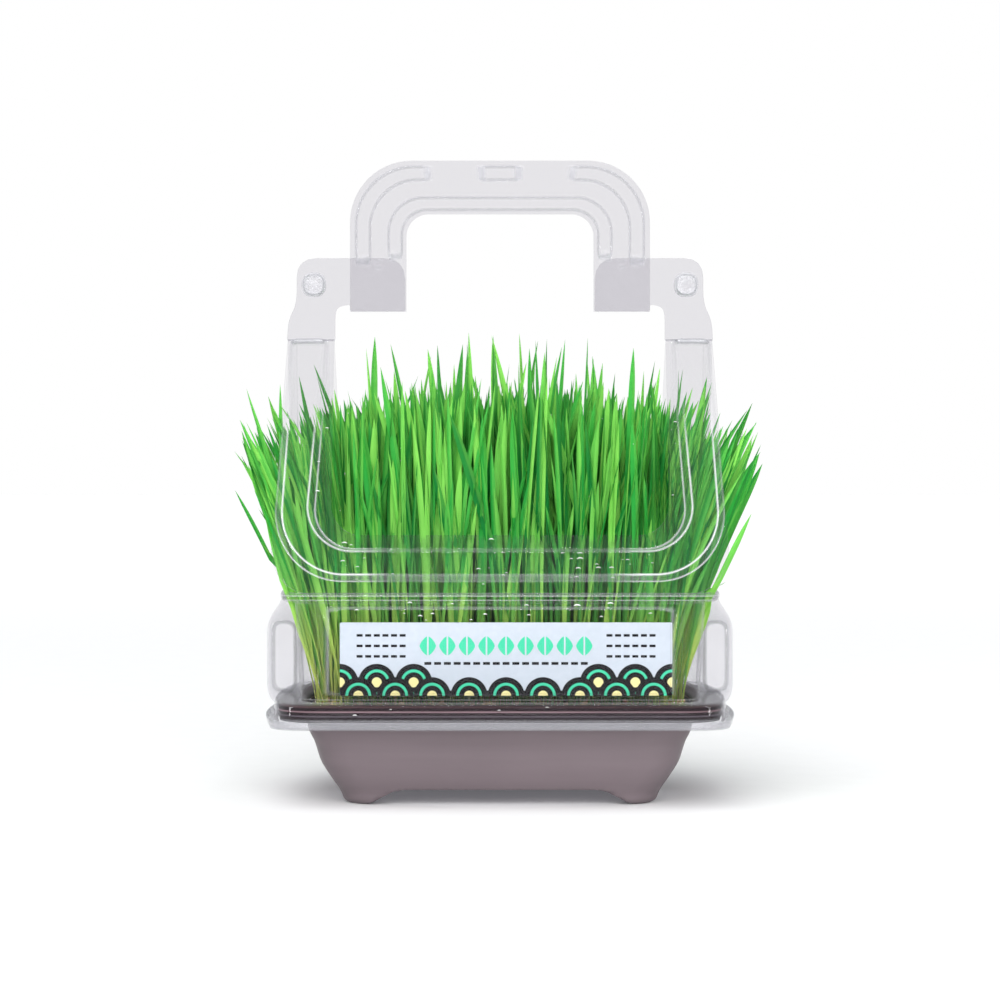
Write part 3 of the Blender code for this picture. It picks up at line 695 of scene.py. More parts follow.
def tray_plastic(look):
    """Brown moulded plastic: cloudy pigment, faint flow lines along the wall and a fine grain. Painted
    shade darkens the tray from just below the lip upward, over the rim and inside, and painted
    highlights run as thin lines along the rim's mouldings."""
    paint = Paint("tray_plastic")
    cloud = paint.noise(14.0, 3.0)
    flow = paint.noise(30.0, 4.0, (0.25, 0.25, 5.0))
    grain = paint.noise(900.0, 2.0)
    dark = tuple(0.93 * c for c in look.colour)
    light = tuple(min(1, 1.06 * c) for c in look.colour)
    shade = (cloud * 0.5 + flow * 0.5).rise(0.32, 0.68)
    height = paint.split(paint.spot())[2]
    # painted shade: dark from the rim's shade band upward
    colour = paint.mix(height.rise(*RIM_SHADE_BAND), paint.mix(shade, dark, light), (0.014, 0.007, 0.010))
    # painted highlights: thin lighter lines at the heights of the rim's mouldings
    for level, painted_highlight in RIM_PAINTED_HIGHLIGHTS:
        line = 1.0 - abs(height - float(level)).rise(0.0001, 0.0005)
        colour = paint.mix(line * (flow.rise(0.35, 0.6) * 0.5 + 0.4), colour, painted_highlight)
    return paint.finish(paint.principled(
        Base_Color=colour,
        Roughness=(flow * 0.16 + (look.roughness - 0.08)).held(),
        Normal=paint.bump(grain * 0.5 + flow * 0.5, 0.0001, 0.35),
        Specular_IOR_Level=0.12,
    ))


def root_felt():
    """Pale felted roots with brown husk flecks."""
    paint = Paint("root_felt")
    strands = paint.noise(420.0, 6.0, (1.0, 1.0, 0.3))
    flecks = paint.noise(160.0, 3.0)
    colour = paint.mix(strands.rise(0.35, 0.7), (0.20, 0.13, 0.06), (0.55, 0.45, 0.26))
    colour = paint.mix(flecks.rise(0.55, 0.62), colour, (0.13, 0.07, 0.03))
    return paint.finish(paint.principled(
        Base_Color=colour, Roughness=0.9, Normal=paint.bump(strands, 0.0008, 0.8)
    ))


def seed_husk():
    """Wheat seeds from straw to red brown, with paler patches of skin."""
    paint = Paint("seed_husk")
    skin = paint.noise(700.0, 2.0, (1.0, 1.0, 0.4))
    colour = paint.mix(paint.attribute("tone"), (0.62, 0.42, 0.18), (0.30, 0.13, 0.05))
    colour = paint.mix(skin.rise(0.4, 0.7) * 0.5, colour, (0.72, 0.58, 0.34))
    return paint.finish(paint.principled(
        Base_Color=colour, Roughness=0.55, Normal=paint.bump(skin, 0.0002, 0.5)
    ))


def blade_green(look):
    """Grass: each blade has its own tone and veins along it, and one half of its fold is painted
    lighter than the other as a painted highlight. It is young and yellow at the foot and brown where
    it leaves its seed. Painted shade darkens the blades low inside the mass, and at their feet away
    from the tray's ends."""
    paint = Paint("blade_green")
    tone, along, deep = paint.attribute("tone"), paint.attribute("along"), paint.attribute("deep")
    across = paint.attribute("across")
    veins = (across * 75.0).sine() * 0.5 + 0.5
    mottle = paint.noise(90.0, 2.0, (1, 1, 0.25))
    dusk = tuple(share * c for share, c in zip((0.10, 0.46, 0.60), look.green))
    young = paint.mix(tone.rise(0.1, 0.6), (0.20, 0.44, 0.06), (0.80, 0.76, 0.17))
    colour = paint.mix(tone.rise(0.05, 0.4), dusk, look.green)
    for share, other in (
        (tone.rise(0.35, 0.9), look.pale),
        (mottle.rise(0.5, 0.75) * 0.12, look.pale),
        (along.rise(0.55, 0.95) * 0.14, look.pale),
        (veins * 0.10, (0.14, 0.56, 0.12)),
        # painted light: one half of each blade's fold is painted lighter, as the lit side of its keel
        (across.rise(0.0, 0.12) * 0.22, look.pale),
        ((1.0 - along.rise(0.03, 0.42)) * 0.72, young),
        ((1.0 - along.rise(0.0, 0.10)) * 0.6, (0.42, 0.34, 0.10)),
        # painted shade: blades low inside the mass and at their feet are painted dark
        (deep * 0.9, (0.0, 0.045, 0.004)),
    ):
        colour = paint.mix(share, colour, other)
    face = paint.principled(
        Base_Color=colour,
        Roughness=(mottle * 0.15 + 0.38).held(),
        Normal=paint.bump(veins, 0.00012, 0.4),
        Specular_IOR_Level=0.10,
    )
    glow = paint.node("ShaderNodeBsdfTranslucent", {}, {"Color": (0.10, 0.60, 0.07)})
    return paint.finish(paint.blend(0.25, face, glow))


def clear_sheet(name, tint, haze, edge):
    """Clear formed sheet: light passes straight through with a little lost at each face. A face
    mirrors a little of what it sees, and more as it turns away. Where it turns away it looks frosted
    grey, and it is frosted too where an attribute gives the sheet's faint haze and painted frost: grey
    and white lines painted along steep walls. A crease is painted white, a painted highlight."""
    paint = Paint(name)
    away, crease = paint.away(), paint.attribute("crease")
    # The frost is grey, and painted white along a crease as a painted highlight
    frost = paint.principled(
        Base_Color=paint.mix(crease.held(), (0.52, 0.52, 0.55), (0.97, 0.97, 0.98)), Roughness=0.3
    )
    gloss = paint.principled(Base_Color=(0.97, 0.97, 0.98), Metallic=1.0, Roughness=0.05)
    frosted = ((away**3.0) * edge + paint.attribute("milk") + crease * 0.8 + haze).held()
    sheet = paint.blend(frosted, paint.clear(tint), frost)
    return paint.finish(paint.blend((away**7.0) * 0.6 + 0.011, sheet, gloss))


def water_drop():
    """Water: clear, with a dark ring painted where it turns away and a white highlight painted on its
    upper side.
    """
    paint = Paint("water")
    away = paint.away()
    upward = paint.split(paint.node("ShaderNodeNewGeometry").outputs["Normal"])[2]
    ring = paint.principled(Base_Color=(0.16, 0.20, 0.18), Roughness=0.1)
    painted_highlight = paint.principled(Base_Color=(1.0, 1.0, 1.0), Roughness=0.2)
    drop = paint.blend(away.rise(0.35, 0.8) * 0.6, paint.clear((0.90, 0.93, 0.91)), ring)
    # painted highlight: white on the drop's upper side, away from its rim
    painted_highlight_share = upward.rise(0.35, 0.6) * (1.0 - away.rise(0.55, 0.75))
    return paint.finish(paint.blend(painted_highlight_share * 0.7, drop, painted_highlight))


def card_print(look, low, high):
    """Coated card with a plain pattern: a dark border of round scales with bright rings and pale
    dots, a row of bright leaves over a dashed rule, and rows of small dark dashes at each end."""
    paint = Paint("card_print")
    width, height = float(high[0] - low[0]), float(high[2] - low[2])
    x, _, z = paint.split(paint.spot())
    x, z = x - float(low[0] + high[0]) / 2, z - float(low[2])

    def from_centre(x, z):
        return ((x.repeat(scale) ** 2.0 + z**2.0) ** 0.5) / (scale / 2)

    scale = width / 9
    back_row = 0.36 * scale
    at_ends = abs(x) > 2 * scale
    front, behind = from_centre(x, z), from_centre(x + scale / 2, z - back_row)
    shown = at_ends * (front > 1.0)
    border = (front < 1.0).most(z < 0.07 * height).most((behind < 1.0) * shown)
    border = border.most((z < back_row) * at_ends)
    ring = front.near(0.62, 0.075).most(behind.near(0.62, 0.075) * shown)
    dot = (front < 0.27).most((behind < 0.27) * shown)

    line_z, rule_z = 0.68 * height, 0.44 * height
    leaf_step = width / 17
    leaf_x = abs(x.repeat(leaf_step)) / (leaf_step * 0.42)
    leaf_z = abs(z - line_z) / (0.135 * height)
    leaves = ((leaf_x**1.4 + leaf_z**1.4) < 1.0) * (abs(x) < leaf_step * 4.5)
    rib = (leaf_x < 0.10) * leaves
    dash = (abs(x.repeat(0.0042)) < 0.0015) * z.near(rule_z, 0.0006) * (abs(x) < 0.0357)
    line = abs((z - line_z).repeat(0.0045)) < 0.00055
    ends = (abs(x) > 0.30 * width) * (abs(x) < 0.455 * width) * z.near(line_z, 0.0066)
    marks = (abs(x.repeat(0.0037)) < 0.0013) * line * ends

    fibre = paint.noise(500.0, 3.0)
    colour = paint.mix(fibre.rise(0.3, 0.8) * 0.10, look.ground, (0.86, 0.90, 0.94))
    for mask, ink in (
        (border, look.ink), (ring, look.accent), (dot, look.second), (leaves, look.accent),
        (rib, look.ground), (dash, look.ink), (marks, look.ink),
    ):
        colour = paint.mix(mask, colour, ink)
    return paint.finish(paint.principled(
        Base_Color=colour, Roughness=0.5, Normal=paint.bump(fibre, 0.00003, 0.3),
        Specular_IOR_Level=0.12,
    ))


# Pieces


def make_tray(look):
    """Profile (half width, height) carried round the tray's plan: under the foot, up the outside,
    over the rim and down the inside to the floor. Near the ground the height is raised to the arch
    between the feet: foot height times a ramp of the distance from a corner."""
    foot = TRAY_OUTSIDE[0][0] - FOOT_BREADTH
    underside = [(foot - FOOT_BREADTH, UNDERSIDE), (foot, 0.0004), (foot + 0.0008, 0.0)]
    inside = [(tray_inside(UNDER_RIM), RIM_TOP)] + [(tray_inside(z), z) for z in INSIDE_BENDS]
    floor_edge = (tray_inside(INSIDE_BENDS[-1]) - FLOOR_ROUND, FLOOR_TOP)
    bends = underside + TRAY_OUTSIDE.tolist() + RIM_PROFILE + inside + [floor_edge]
    loops = np.array([tray_plan(half, z) for half, z in soften(bends, TRAY_ROUNDING)])
    x, y, z = np.moveaxis(loops, -1, 0)
    along = (FOOT_CORNER[0] - abs(x)) / FOOT_RAMP[0]
    across = (FOOT_CORNER[1] - abs(y)) / FOOT_RAMP[1]
    notch = FOOT_HEIGHT * smooth(np.maximum(along, across))
    loops[..., 2] = np.where(z < FOOT_HEIGHT + 0.0004, np.maximum(z, notch), z)
    net = Net()
    net.loops(loops, both_ends=True)
    piece = net.make("tray_body", [tray_plastic(look)], HOLDER, weld=True)
    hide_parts("tray")


def ripple(x, y, scale):
    """A cheap uneven surface: sines of turned directions added up, within about -1 and 1."""
    total = np.zeros_like(x)
    for k in range(5):
        a = 0.7 + 2.1 * k
        total += np.sin((x * math.cos(a) + y * math.sin(a)) * scale * (1 + 0.37 * k) + 1.7 * k)
    return total / 3


def make_roots():
    """The mat: the tray's inner outline from its floor up, then drawn in to the middle over a top
    that ripples past its border. Each loop keeps a small gap off the wall."""
    sides = [tray_plan(tray_inside(z) - MAT_GAP, z) for z in MAT_HEIGHTS]
    top = tray_plan(tray_inside(SEED_TOP - 0.002) - MAT_GAP, MAT_BORDER)
    middle = np.array([0, 0, MAT_MIDDLE])
    drawn_in = [middle + (top - middle) * (share, share, 1) for share in np.linspace(1, 0.02, 26)]
    loops = np.array(sides + drawn_in)
    over = loops[len(sides) :]
    fade = smooth(np.arange(len(over)), 0, 3)[:, None]
    waves = ripple(over[..., 0], over[..., 1], RIPPLE_SCALE)
    over[..., 2] = MAT_LEVEL + RIPPLE_HEIGHT * waves * fade
    net = Net()
    net.loops(loops, both_ends=True)
    piece = net.make("root_felt", [root_felt()], HOLDER)
    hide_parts("root_mat")


def inside_plan(draw, count, margin):
    """Even random spots in the tray's mouth, a rectangle with round corners."""
    mouth = tray_inside(SEED_TOP)
    half_x, half_y = mouth - margin, RIM_Y - (RIM_X - mouth) - margin
    spots = draw.uniform(-1, 1, (count * 2, 2)) * (half_x, half_y)
    x, y = abs(spots[:, 0]), abs(spots[:, 1])
    over_x = np.maximum(x - half_x + MOUTH_CORNER + MOUTH_BOW, 0)
    over_y = np.maximum(y - half_y + MOUTH_CORNER, 0)
    return spots[np.hypot(over_x, over_y) < MOUTH_CORNER][:count]


def make_seeds(look, draw):
    """Wheat seeds: long balls (cos v, sin v cos u, sin v sin u) with a crease pressed in along one
    side, each turned and tipped its own way and half sunk in the mat."""
    rings, sides = 6, 8
    long, wide, thick = 0.0032, 0.0015, 0.0014
    v = np.linspace(0.12, math.pi - 0.12, rings)[:, None]
    u = np.linspace(0, math.tau, sides, endpoint=False)[None, :]
    crease = 1 - 0.28 * np.exp(-((u - math.pi / 2) ** 2) / 0.3)
    ball = np.stack(np.broadcast_arrays(
        np.cos(v) * long, np.sin(v) * np.cos(u) * wide, np.sin(v) * np.sin(u) * crease * thick
    ), axis=-1).reshape(-1, 3)
    spots = inside_plan(draw, look.seeds, SEED_MARGIN)
    count = len(spots)

    def each(low, high):
        return draw.uniform(low, high, (count, 1))

    flat_x, y, flat_z = np.moveaxis(ball * each(0.8, 1.25)[..., None], -1, 0)
    turn, tip = each(0, math.tau), each(-0.7, 0.7)
    x = flat_x * np.cos(tip) + flat_z * np.sin(tip)
    z = flat_z * np.cos(tip) - flat_x * np.sin(tip)
    c, s = np.cos(turn), np.sin(turn)
    height = SEED_TOP + each(-0.0014, 0.0008)
    points = np.stack([x * c - y * s + spots[:, :1], x * s + y * c + spots[:, 1:], z + height], -1)
    end = np.arange(sides)[None]
    net = Net()
    parts = (grid_quads(rings, sides, around=True), end[:, ::-1], end + (rings - 1) * sides)
    net.copies(points, parts, {"tone": each(0, 1)})
    piece = net.make("seeds", [seed_husk()], HOLDER, recalculate=True)


def lean_y(z):
    """How far forward the leaning frame stands at a height, as a distance from the middle plane."""
    share = (z - FRAME_FOOT[1]) / (FRAME_HEAD[1] - FRAME_FOOT[1])
    return -(FRAME_FOOT[0] + (FRAME_HEAD[0] - FRAME_FOOT[0]) * np.clip(share, 0, 1))


def squeezed(distance, limit, free):
    """A distance kept within a limit: as it is up to the free share of it, then nearing the limit
    as a tanh does."""
    near, room = abs(distance) / limit, 1 - free
    held = np.where(near < free, near, free + room * np.tanh((near - free) / room))
    return np.sign(distance) * held * limit


def held_back(x, y, z):
    """Spines pressed by the carrier: |y| stays behind the wall below the ledge, and above it behind
    the arms for a blade that passes them, while the others stand free in the opening; |x| stays
    inside the box below the ledge."""
    passes = strip_mask(abs(x), *ARM_X, ARM_BORDER) * smooth(z, *ARM_BOTTOM)
    arm = passes.max(axis=1, keepdims=True)
    below = 1 - smooth(z, *OPENING_BOTTOM)
    wall = np.where(z < FRAME_FOOT[1], WALL_HOLD, lean_y(z) - LEAN_GAP)
    opening = OPENING_HOLD + OPENING_SPREAD * np.maximum(z - OPENING_BOTTOM[0], 0)
    depth = opening + (np.maximum(wall, LEAST_HOLD) - opening) * np.maximum(arm, below)
    width = END_HOLD + END_SPREAD * smooth(z, *END_RISE) + FREE_SPREAD * smooth(z, *LEDGE_RISE)
    return squeezed(x, width, FREE_X), squeezed(y, depth, FREE_Y)


def blade_shapes(look, draw, roots):
    """Blades as grids: the spine is root + lean t^p + a sideways curl of sin(pi t), t from foot to
    tip, pressed by the carrier; half width swells to its widest at two thirds and closes in a
    point; the two halves fold to a shallow keel, and the whole twists a little on its way up."""
    count = len(roots)
    t = BLADE_ROWS[None, :, None]
    s = np.linspace(-1, 1, BLADE_COLUMNS)[None, None, :]

    def each(low, high):
        return draw.uniform(low, high, (count, 1, 1))

    def spread(size):
        return draw.normal(0, size, (count, 1, 1))

    def chance(share):
        return draw.random((count, 1, 1)) < share

    x0, y0 = roots.T[:, :, None, None]
    u, v = x0 / GRASS_HALF[0], y0 / GRASS_HALF[1]
    rank = draw.random((count, 1, 1))
    fanned = chance(FANNED_PART)
    tall = each(*TALL_LENGTH) + TUFT_EXTRA * (abs(u - TUFT_AT) < TUFT_REACH) * ~fanned
    short, usual = each(*SHORT_LENGTH), each(*USUAL_LENGTH)
    share = np.where(rank < TALL_FROM, usual, tall)
    share = np.where(rank < SHORT_PART + SHORT_PART_IN_FRONT * abs(v), short, share)
    rise = look.length * share * (1 - END_LENGTH_LOSS * abs(u) ** 3)

    fan = np.where(fanned, each(*FANNED_LEAN), each(*UPRIGHT_LEAN))
    lean_x = fan * u * abs(u) ** 1.3 * np.minimum(share / LONG_FROM, 1) ** 1.5
    askew = np.where(chance(ASKEW_PART), *ASKEW_LEAN)
    lean_x = lean_x + spread(1) * askew * share
    reach = each(*TIP_REACH)
    lean_x = np.clip(x0 + lean_x, -reach, reach) - x0
    lean_forward = FORWARD_LEAN * v + spread(FORWARD_SPREAD)
    power = np.where(fanned, each(*FANNED_POWER), each(*UPRIGHT_POWER))
    power = power - END_POWER_LOSS * smooth(abs(u), END_FROM, 1.0)
    curl = spread(CURL_SPREAD)
    turn = each(0, math.tau)
    bend = np.sin(math.pi * t) * curl
    x = x0 + lean_x * t**power + bend * np.cos(turn)
    y = y0 + lean_forward * t**power + bend * np.sin(turn)
    z = SEED_TOP - ROOTED_BELOW + rise * t - TIP_DROP * abs(lean_x) * t**2
    x, y = held_back(x, y, z)

    facing = spread(FACING_SPREAD) + each(*TWIST) * t
    half = look.width * (each(*HALF_WIDTH) + LONG_EXTRA * (share > LONG_FROM))
    swell = FOOT_SHARE + (1 - FOOT_SHARE) * smooth(t, *SWELL)
    taper = (np.maximum(t - TAPER_START, 0) / (1 - TAPER_START)) ** each(*TAPER_POWER)
    half = half * swell * np.maximum(1 - taper, 0.02)
    fold = KEEL * half * (1 - abs(s))
    across_x, across_y = np.cos(facing), np.sin(facing)
    x = x + across_x * half * s - across_y * fold
    y = y + across_y * half * s + across_x * fold
    z = np.broadcast_to(z, x.shape)

    # Painted shade: strongest low inside the mass, and at the blades' feet away from the tray's ends
    inside = smooth(np.minimum(PAINTED_SHADE_HALF[1] - abs(y), PAINTED_SHADE_HALF[0] - abs(x)), *PAINTED_SHADE_BORDER)
    foot = (1 - smooth(z - SEED_TOP, *FOOT_SHADE_HEIGHTS)) * (1 - smooth(abs(x), *FOOT_SHADE_END))
    values = {
        "tone": each(0, 1),
        "along": (z - SEED_TOP) / look.length,
        "across": s * 0.5,
        "deep": np.maximum(inside * (1 - smooth(z, *PAINTED_SHADE_HEIGHTS)), foot),
    }
    return np.stack([x, y, z], axis=-1), values


def make_beads(name, shape, depth, reach, sizes, spots):
    """Beads of water that face -Y, each of its own size at its own spot: rings of
    (sin v cos u, -depth cos v, sin v sin u) with v up to an angle."""
    v = np.linspace(0.1, reach, shape[0])[:, None]
    u = np.linspace(0, math.tau, shape[1], endpoint=False)[None, :]
    bead = np.broadcast_arrays(np.sin(v) * np.cos(u), -np.cos(v) * depth, np.sin(v) * np.sin(u))
    bead = np.stack(bead, axis=-1).reshape(-1, 3)
    net = Net()
    net.copies(bead * sizes[:, None, None] + spots[:, None, :], [grid_quads(*shape, around=True)])
    piece = net.make(name, [water_drop()], HOLDER, recalculate=True)


def make_grass(look, draw):
    """One piece of blades for each bunch of the mat, filled evenly, and dew on the blades that stand
    forward or back."""
    material = blade_green(look)
    share = look.blades // len(GRASS_NODES)
    width = 2 * RIM_X / 4
    quads = grid_quads(len(BLADE_ROWS), BLADE_COLUMNS)
    beads = []
    for node in GRASS_NODES:
        _, column, side = node.split("_")
        left = -RIM_X + (int(column) - 1) * width
        spots = inside_plan(draw, look.blades * 4, BLADE_MARGIN)
        inside = (spots[:, 0] > left) & (spots[:, 0] <= left + width)
        inside &= (spots[:, 1] < 0) if side == "front" else (spots[:, 1] >= 0)
        want = int(share * (OUTER_FILL if column in ("1", "4") else 1.0))
        points, values = blade_shapes(look, draw, spots[inside][:want])
        count = len(points)
        flat = points.reshape(count, -1, 3)
        corner = draw.integers(0, count, DEW_A_BUNCH), draw.integers(*DEW_CORNERS, DEW_A_BUNCH)
        wet = flat[corner]
        beads.append(wet[abs(wet[:, 1]) > DEW_FROM_Y])
        net = Net()
        net.copies(points, [quads], values)
        piece = net.make(f"blades_{column}_{side}", [material], HOLDER)
        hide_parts(node)
    beads = np.concatenate(beads)
    sizes = draw.uniform(0.00025, 0.0006, len(beads))
    make_beads("dew", (4, 6), 1.0, math.pi - 0.1, sizes, beads)


def pocket_loop(loop, centre, half, inset):
    """The pocket's border drawn in: each point keeps its share of the way out, and is then pulled
    in to a rectangle with round corners."""
    size = half - inset
    radius = POCKET_RADIUS * min(1.0, inset / POCKET_ROUNDED_AT)
    inner = size - radius
    flat = (loop[:, [0, 2]] - centre) * size / half
    over = np.maximum(abs(flat) - inner, 0)
    reach = np.linalg.norm(over, axis=1, keepdims=True)
    shrink = np.where(reach > radius, radius / np.maximum(reach, 1e-9), 1.0)
    return centre + np.sign(flat) * (np.minimum(abs(flat), inner) + over * shrink)


def upright(outline, y):
    """Points of x and z set at a depth."""
    return np.column_stack([outline[:, 0], np.full(len(outline), y), outline[:, 1]])


def box_surface(net, turn):
    """The box's profile carried round its front half, with the pocket raised from the front wall.
    The pocket's loops start on the opening's border and are drawn in while they step forward."""
    rows = soften(BOX_ROWS, BOX_ROUNDING)
    surface = np.array([half_plan(row) for row in rows])
    columns = surface.shape[1]
    middle = columns // 2
    low, high = (middle_row(bend) for bend in POCKET_BENDS)
    left, right = middle - POCKET_COLUMNS, middle + POCKET_COLUMNS
    keep = np.ones((len(rows) - 1, columns - 1), bool)
    keep[low:high, left:right] = False
    milk = FLANGE_MILK * (1 - smooth(surface[..., 2], FLANGE_TOP - 0.001, FLANGE_TOP))
    # painted highlights along the box's bends
    bends = bend_highlights(len(rows), BOX_CREASE_HIGHLIGHTS)[:, None]
    net.grid(surface * turn, keep=keep, values={"milk": milk, "crease": bends})
    loop = np.concatenate([
        surface[low, left:right],
        surface[low:high, right],
        surface[high, left + 1 : right + 1][::-1],
        surface[low + 1 : high + 1, left][::-1],
    ])
    bottom, top = loop[:, 2].min(), loop[:, 2].max()
    centre = np.array([loop.mean(axis=0)[0], (bottom + top) / 2])
    half = np.array([abs(loop[:, 0]).max(), (top - bottom) / 2])
    y = loop[:, 1].mean()
    loops = [upright(pocket_loop(loop, centre, half, s[0]), y - s[1]) for s in POCKET_STEPS[1:]]
    loops = np.array([loop] + loops)
    # painted frost along the pocket's steps
    net.loops(loops * turn, {"milk": np.array(POCKET_STEPS)[:, 2:]}, flip=True)


def lean_place(x, z, raised):
    """A spot of the leaning plane: between its foot and head by height, lifted along its normal."""
    run = FRAME_HEAD - FRAME_FOOT
    along = run / np.linalg.norm(run)
    share = (z - FRAME_FOOT[1]) / run[1]
    y = FRAME_FOOT[0] + run[0] * share - along[1] * raised
    return np.stack([x, y, z + along[0] * raised], axis=-1)


def frame_contour(low, high, bottom, radius, rib):
    """One U of the frame: down an arm that goes from its upper to its lower half width, round a
    quarter circle and along the foot. A rib's contours round off and sink at the arms' heads."""
    head = FRAME_HEAD[1]
    knee = bottom + radius
    down = np.concatenate([np.linspace(0, 0.1, 9), np.linspace(0.1, 1, 19)[1:]])
    z_arm = head - (head - knee) * down
    x_arm = low + (high - low) * (z_arm - knee) / (head - knee)
    a = np.linspace(0, math.pi / 2, 25)[1:]
    x_foot = np.linspace(low - radius, 0, 11)[1:]
    x = np.concatenate([x_arm, low - radius + radius * np.cos(a), x_foot])
    z = np.concatenate([z_arm, knee - radius * np.sin(a), np.full(len(x_foot), bottom)])
    corner = np.clip(1 - (head - z) / RIB_CORNER, 0, 1)
    x = x + (RIB_MIDDLE - x) * (rib > 0) * (1 - np.sqrt(1 - corner**2)) * RIB_HEAD_DRAW
    return mirrored(lean_place(x, z, rib * smooth(head - z, 0.0, RIB_HEAD_SLOPE)))


def frame_surface(net, turn):
    """The leaning frame: U-shaped contours from its opening to its edge, joined across with every bend
    rounded. Painted crease highlights are strongest round the lower corners. The sheet is faintly
    milky, and painted frost on the foot's outer wall and on the walls at the rib's heads stands in for
    the grey and white lines of light there."""
    steps = FRAME_BEND_STEPS
    contours = np.array([frame_contour(*contour) for contour in FRAME_CONTOURS])
    surface = soften(contours, FRAME_ROUNDING, steps)
    # painted highlights along the frame's bends, strongest round the lower corners
    bends = bend_highlights(len(surface), FRAME_CREASE_HIGHLIGHTS, steps)[:, None]
    x, z = abs(surface[..., 0]), surface[..., 2]
    corner = smooth(x, 0.045, 0.062) * (1 - smooth(z, 0.150, 0.180))
    bend = np.arange(len(surface))[:, None] / (steps + 1)

    def between(first, last):
        return (bend > first) * (bend < last)

    # painted frost: grey and white lines on the foot's outer wall and on the walls at the rib's heads
    foot_wall = between(*FOOT_WALL_BENDS) * FOOT_WALL_PAINTED_FROST * (1 - smooth(x, 0.060, 0.080))
    below = FRAME_HEAD[1] - z
    head_wall = smooth(below, -0.0008, 0.0004) * (1 - smooth(below, 0.0006, 0.0020))
    milk = FRAME_MILK + foot_wall + between(*RIB_BENDS) * head_wall * HEAD_WALL_PAINTED_FROST
    net.grid(surface * turn, values={"crease": bends * (0.12 + 0.88 * corner), "milk": milk})


def lobed(centre, radius, lobe, steps=48):
    """A four-lobed outline: r = radius - lobe cos 4a."""
    a = np.linspace(0, math.tau, steps, endpoint=False)
    r = radius - lobe * np.cos(4 * a)
    return np.column_stack([centre[0] + r * np.cos(a), centre[1] + r * np.sin(a)])


def halves_round(outline, hole):
    """An outline with a hole as two outlines that share the cuts above and below the hole. Both
    come back turning the way the outline turns."""
    offsets = outline - hole.mean(axis=0)
    beside = abs(offsets[:, 0])
    above = np.where(offsets[:, 1] > 0, beside, 1.0).argmin()
    below = np.where(offsets[:, 1] < 0, beside, 1.0).argmin()

    def run(points, start, stop):
        return np.roll(points, -start, axis=0)[: (stop - start) % len(points) + 1]

    def turns_left(points):
        after = np.roll(points, -1, axis=0)
        return (points[:, 0] * after[:, 1] - after[:, 0] * points[:, 1]).sum() > 0

    hole_above, hole_below = hole[:, 1].argmax(), hole[:, 1].argmin()
    if turns_left(outline) != turns_left(hole):
        hole = hole[::-1]
        hole_above, hole_below = len(hole) - 1 - hole_above, len(hole) - 1 - hole_below
    first = np.concatenate([run(outline, above, below), run(hole, hole_above, hole_below)[::-1]])
    second = np.concatenate([run(outline, below, above), run(hole, hole_below, hole_above)[::-1]])
    return first, second


def rectangle_loop(low, high, radius, steps=6):
    square = np.array([(low[0], low[1]), (high[0], low[1]), (high[0], high[1]), (low[0], high[1])])
    return soften_loop(square, radius, steps)


def dense(loop, each=12):
    """Extra points along every side of a closed outline."""
    after = np.roll(loop, -1, axis=0)
    t = np.linspace(0, 1, each, endpoint=False)[None, :, None]
    return (loop[:, None] * (1 - t) + after[:, None] * t).reshape(-1, 2)


def seen_from(loop, centre, count=72):
    """A closed outline drawn again with even angles about a centre that sees all of it."""
    offsets = dense(loop) - centre
    angle = np.arctan2(offsets[:, 1], offsets[:, 0])
    order = np.argsort(angle)
    angle, reach = angle[order], np.hypot(*offsets.T)[order]
    wanted = np.linspace(-math.pi, math.pi, count, endpoint=False)
    reach = np.interp(wanted, angle, reach, period=math.tau)
    return centre + np.column_stack([reach * np.cos(wanted), reach * np.sin(wanted)])


def plate_surfaces(net, turn):
    """Upright plates in the middle plane: ears with a raised panel, arm tops and their buttons."""
    low, high = EAR_PANEL
    centre = (low + high) / 2
    buttons = np.array(BUTTON_STEPS)
    for side in (-1, 1):
        mirror = np.array([side, 1.0])
        flip = side > 0
        loops = [upright(seen_from(soften_loop(EAR_OUTLINE, EAR_ROUNDING), centre) * mirror, PLATE_Y)]
        for inset, forward, _ in EAR_STEPS:
            panel = rectangle_loop(low + inset, high - inset, EAR_PANEL_RADIUS - inset)
            loops.append(upright(seen_from(panel, centre) * mirror, PLATE_Y - forward))
        # painted frost along the ear panel's steps
        milk = np.array([0.0, *(step[2] for step in EAR_STEPS)])[:, None]
        net.loops(np.array(loops) * turn, {"milk": milk}, flip)
        spot = BUTTON_AT * mirror
        loops = np.array([
            upright(lobed(spot, radius, BUTTON_LOBE), PLATE_Y - rise)
            for radius, rise, _, _ in BUTTON_STEPS
        ])
        # painted frost and painted crease highlights on the button's rings
        net.loops(loops * turn, {"milk": buttons[:, 2:3], "crease": buttons[:, 3:]}, flip=True)
        top = dense(soften_loop(TOP_OUTLINE, np.array(TOP_RADII)), 3) * mirror
        for half in halves_round(top, lobed(spot, BUTTON_STEPS[0][0], BUTTON_LOBE)):
            net.outline(upright(half, PLATE_Y) * turn, flip)


def make_carriers(look):
    """Both halves of the carrier: the front one, and the same turned half round about Z."""
    sheet = clear_sheet("clear_sheet", look.tint, 0.0, 0.28)
    cut = clear_sheet("sheet_edge", (0.80, 0.80, 0.83), 0.25, 0.4)
    for name, _, turn in HALVES:
        net = Net()
        box_surface(net, turn)
        frame_surface(net, turn)
        plate_surfaces(net, turn)
        piece = net.make("carrier_sheet_" + name, [sheet, cut], HOLDER, weld=True)
        thicken(piece, look.thickness, 50)
        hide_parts("carrier_" + name)
    return sheet, cut


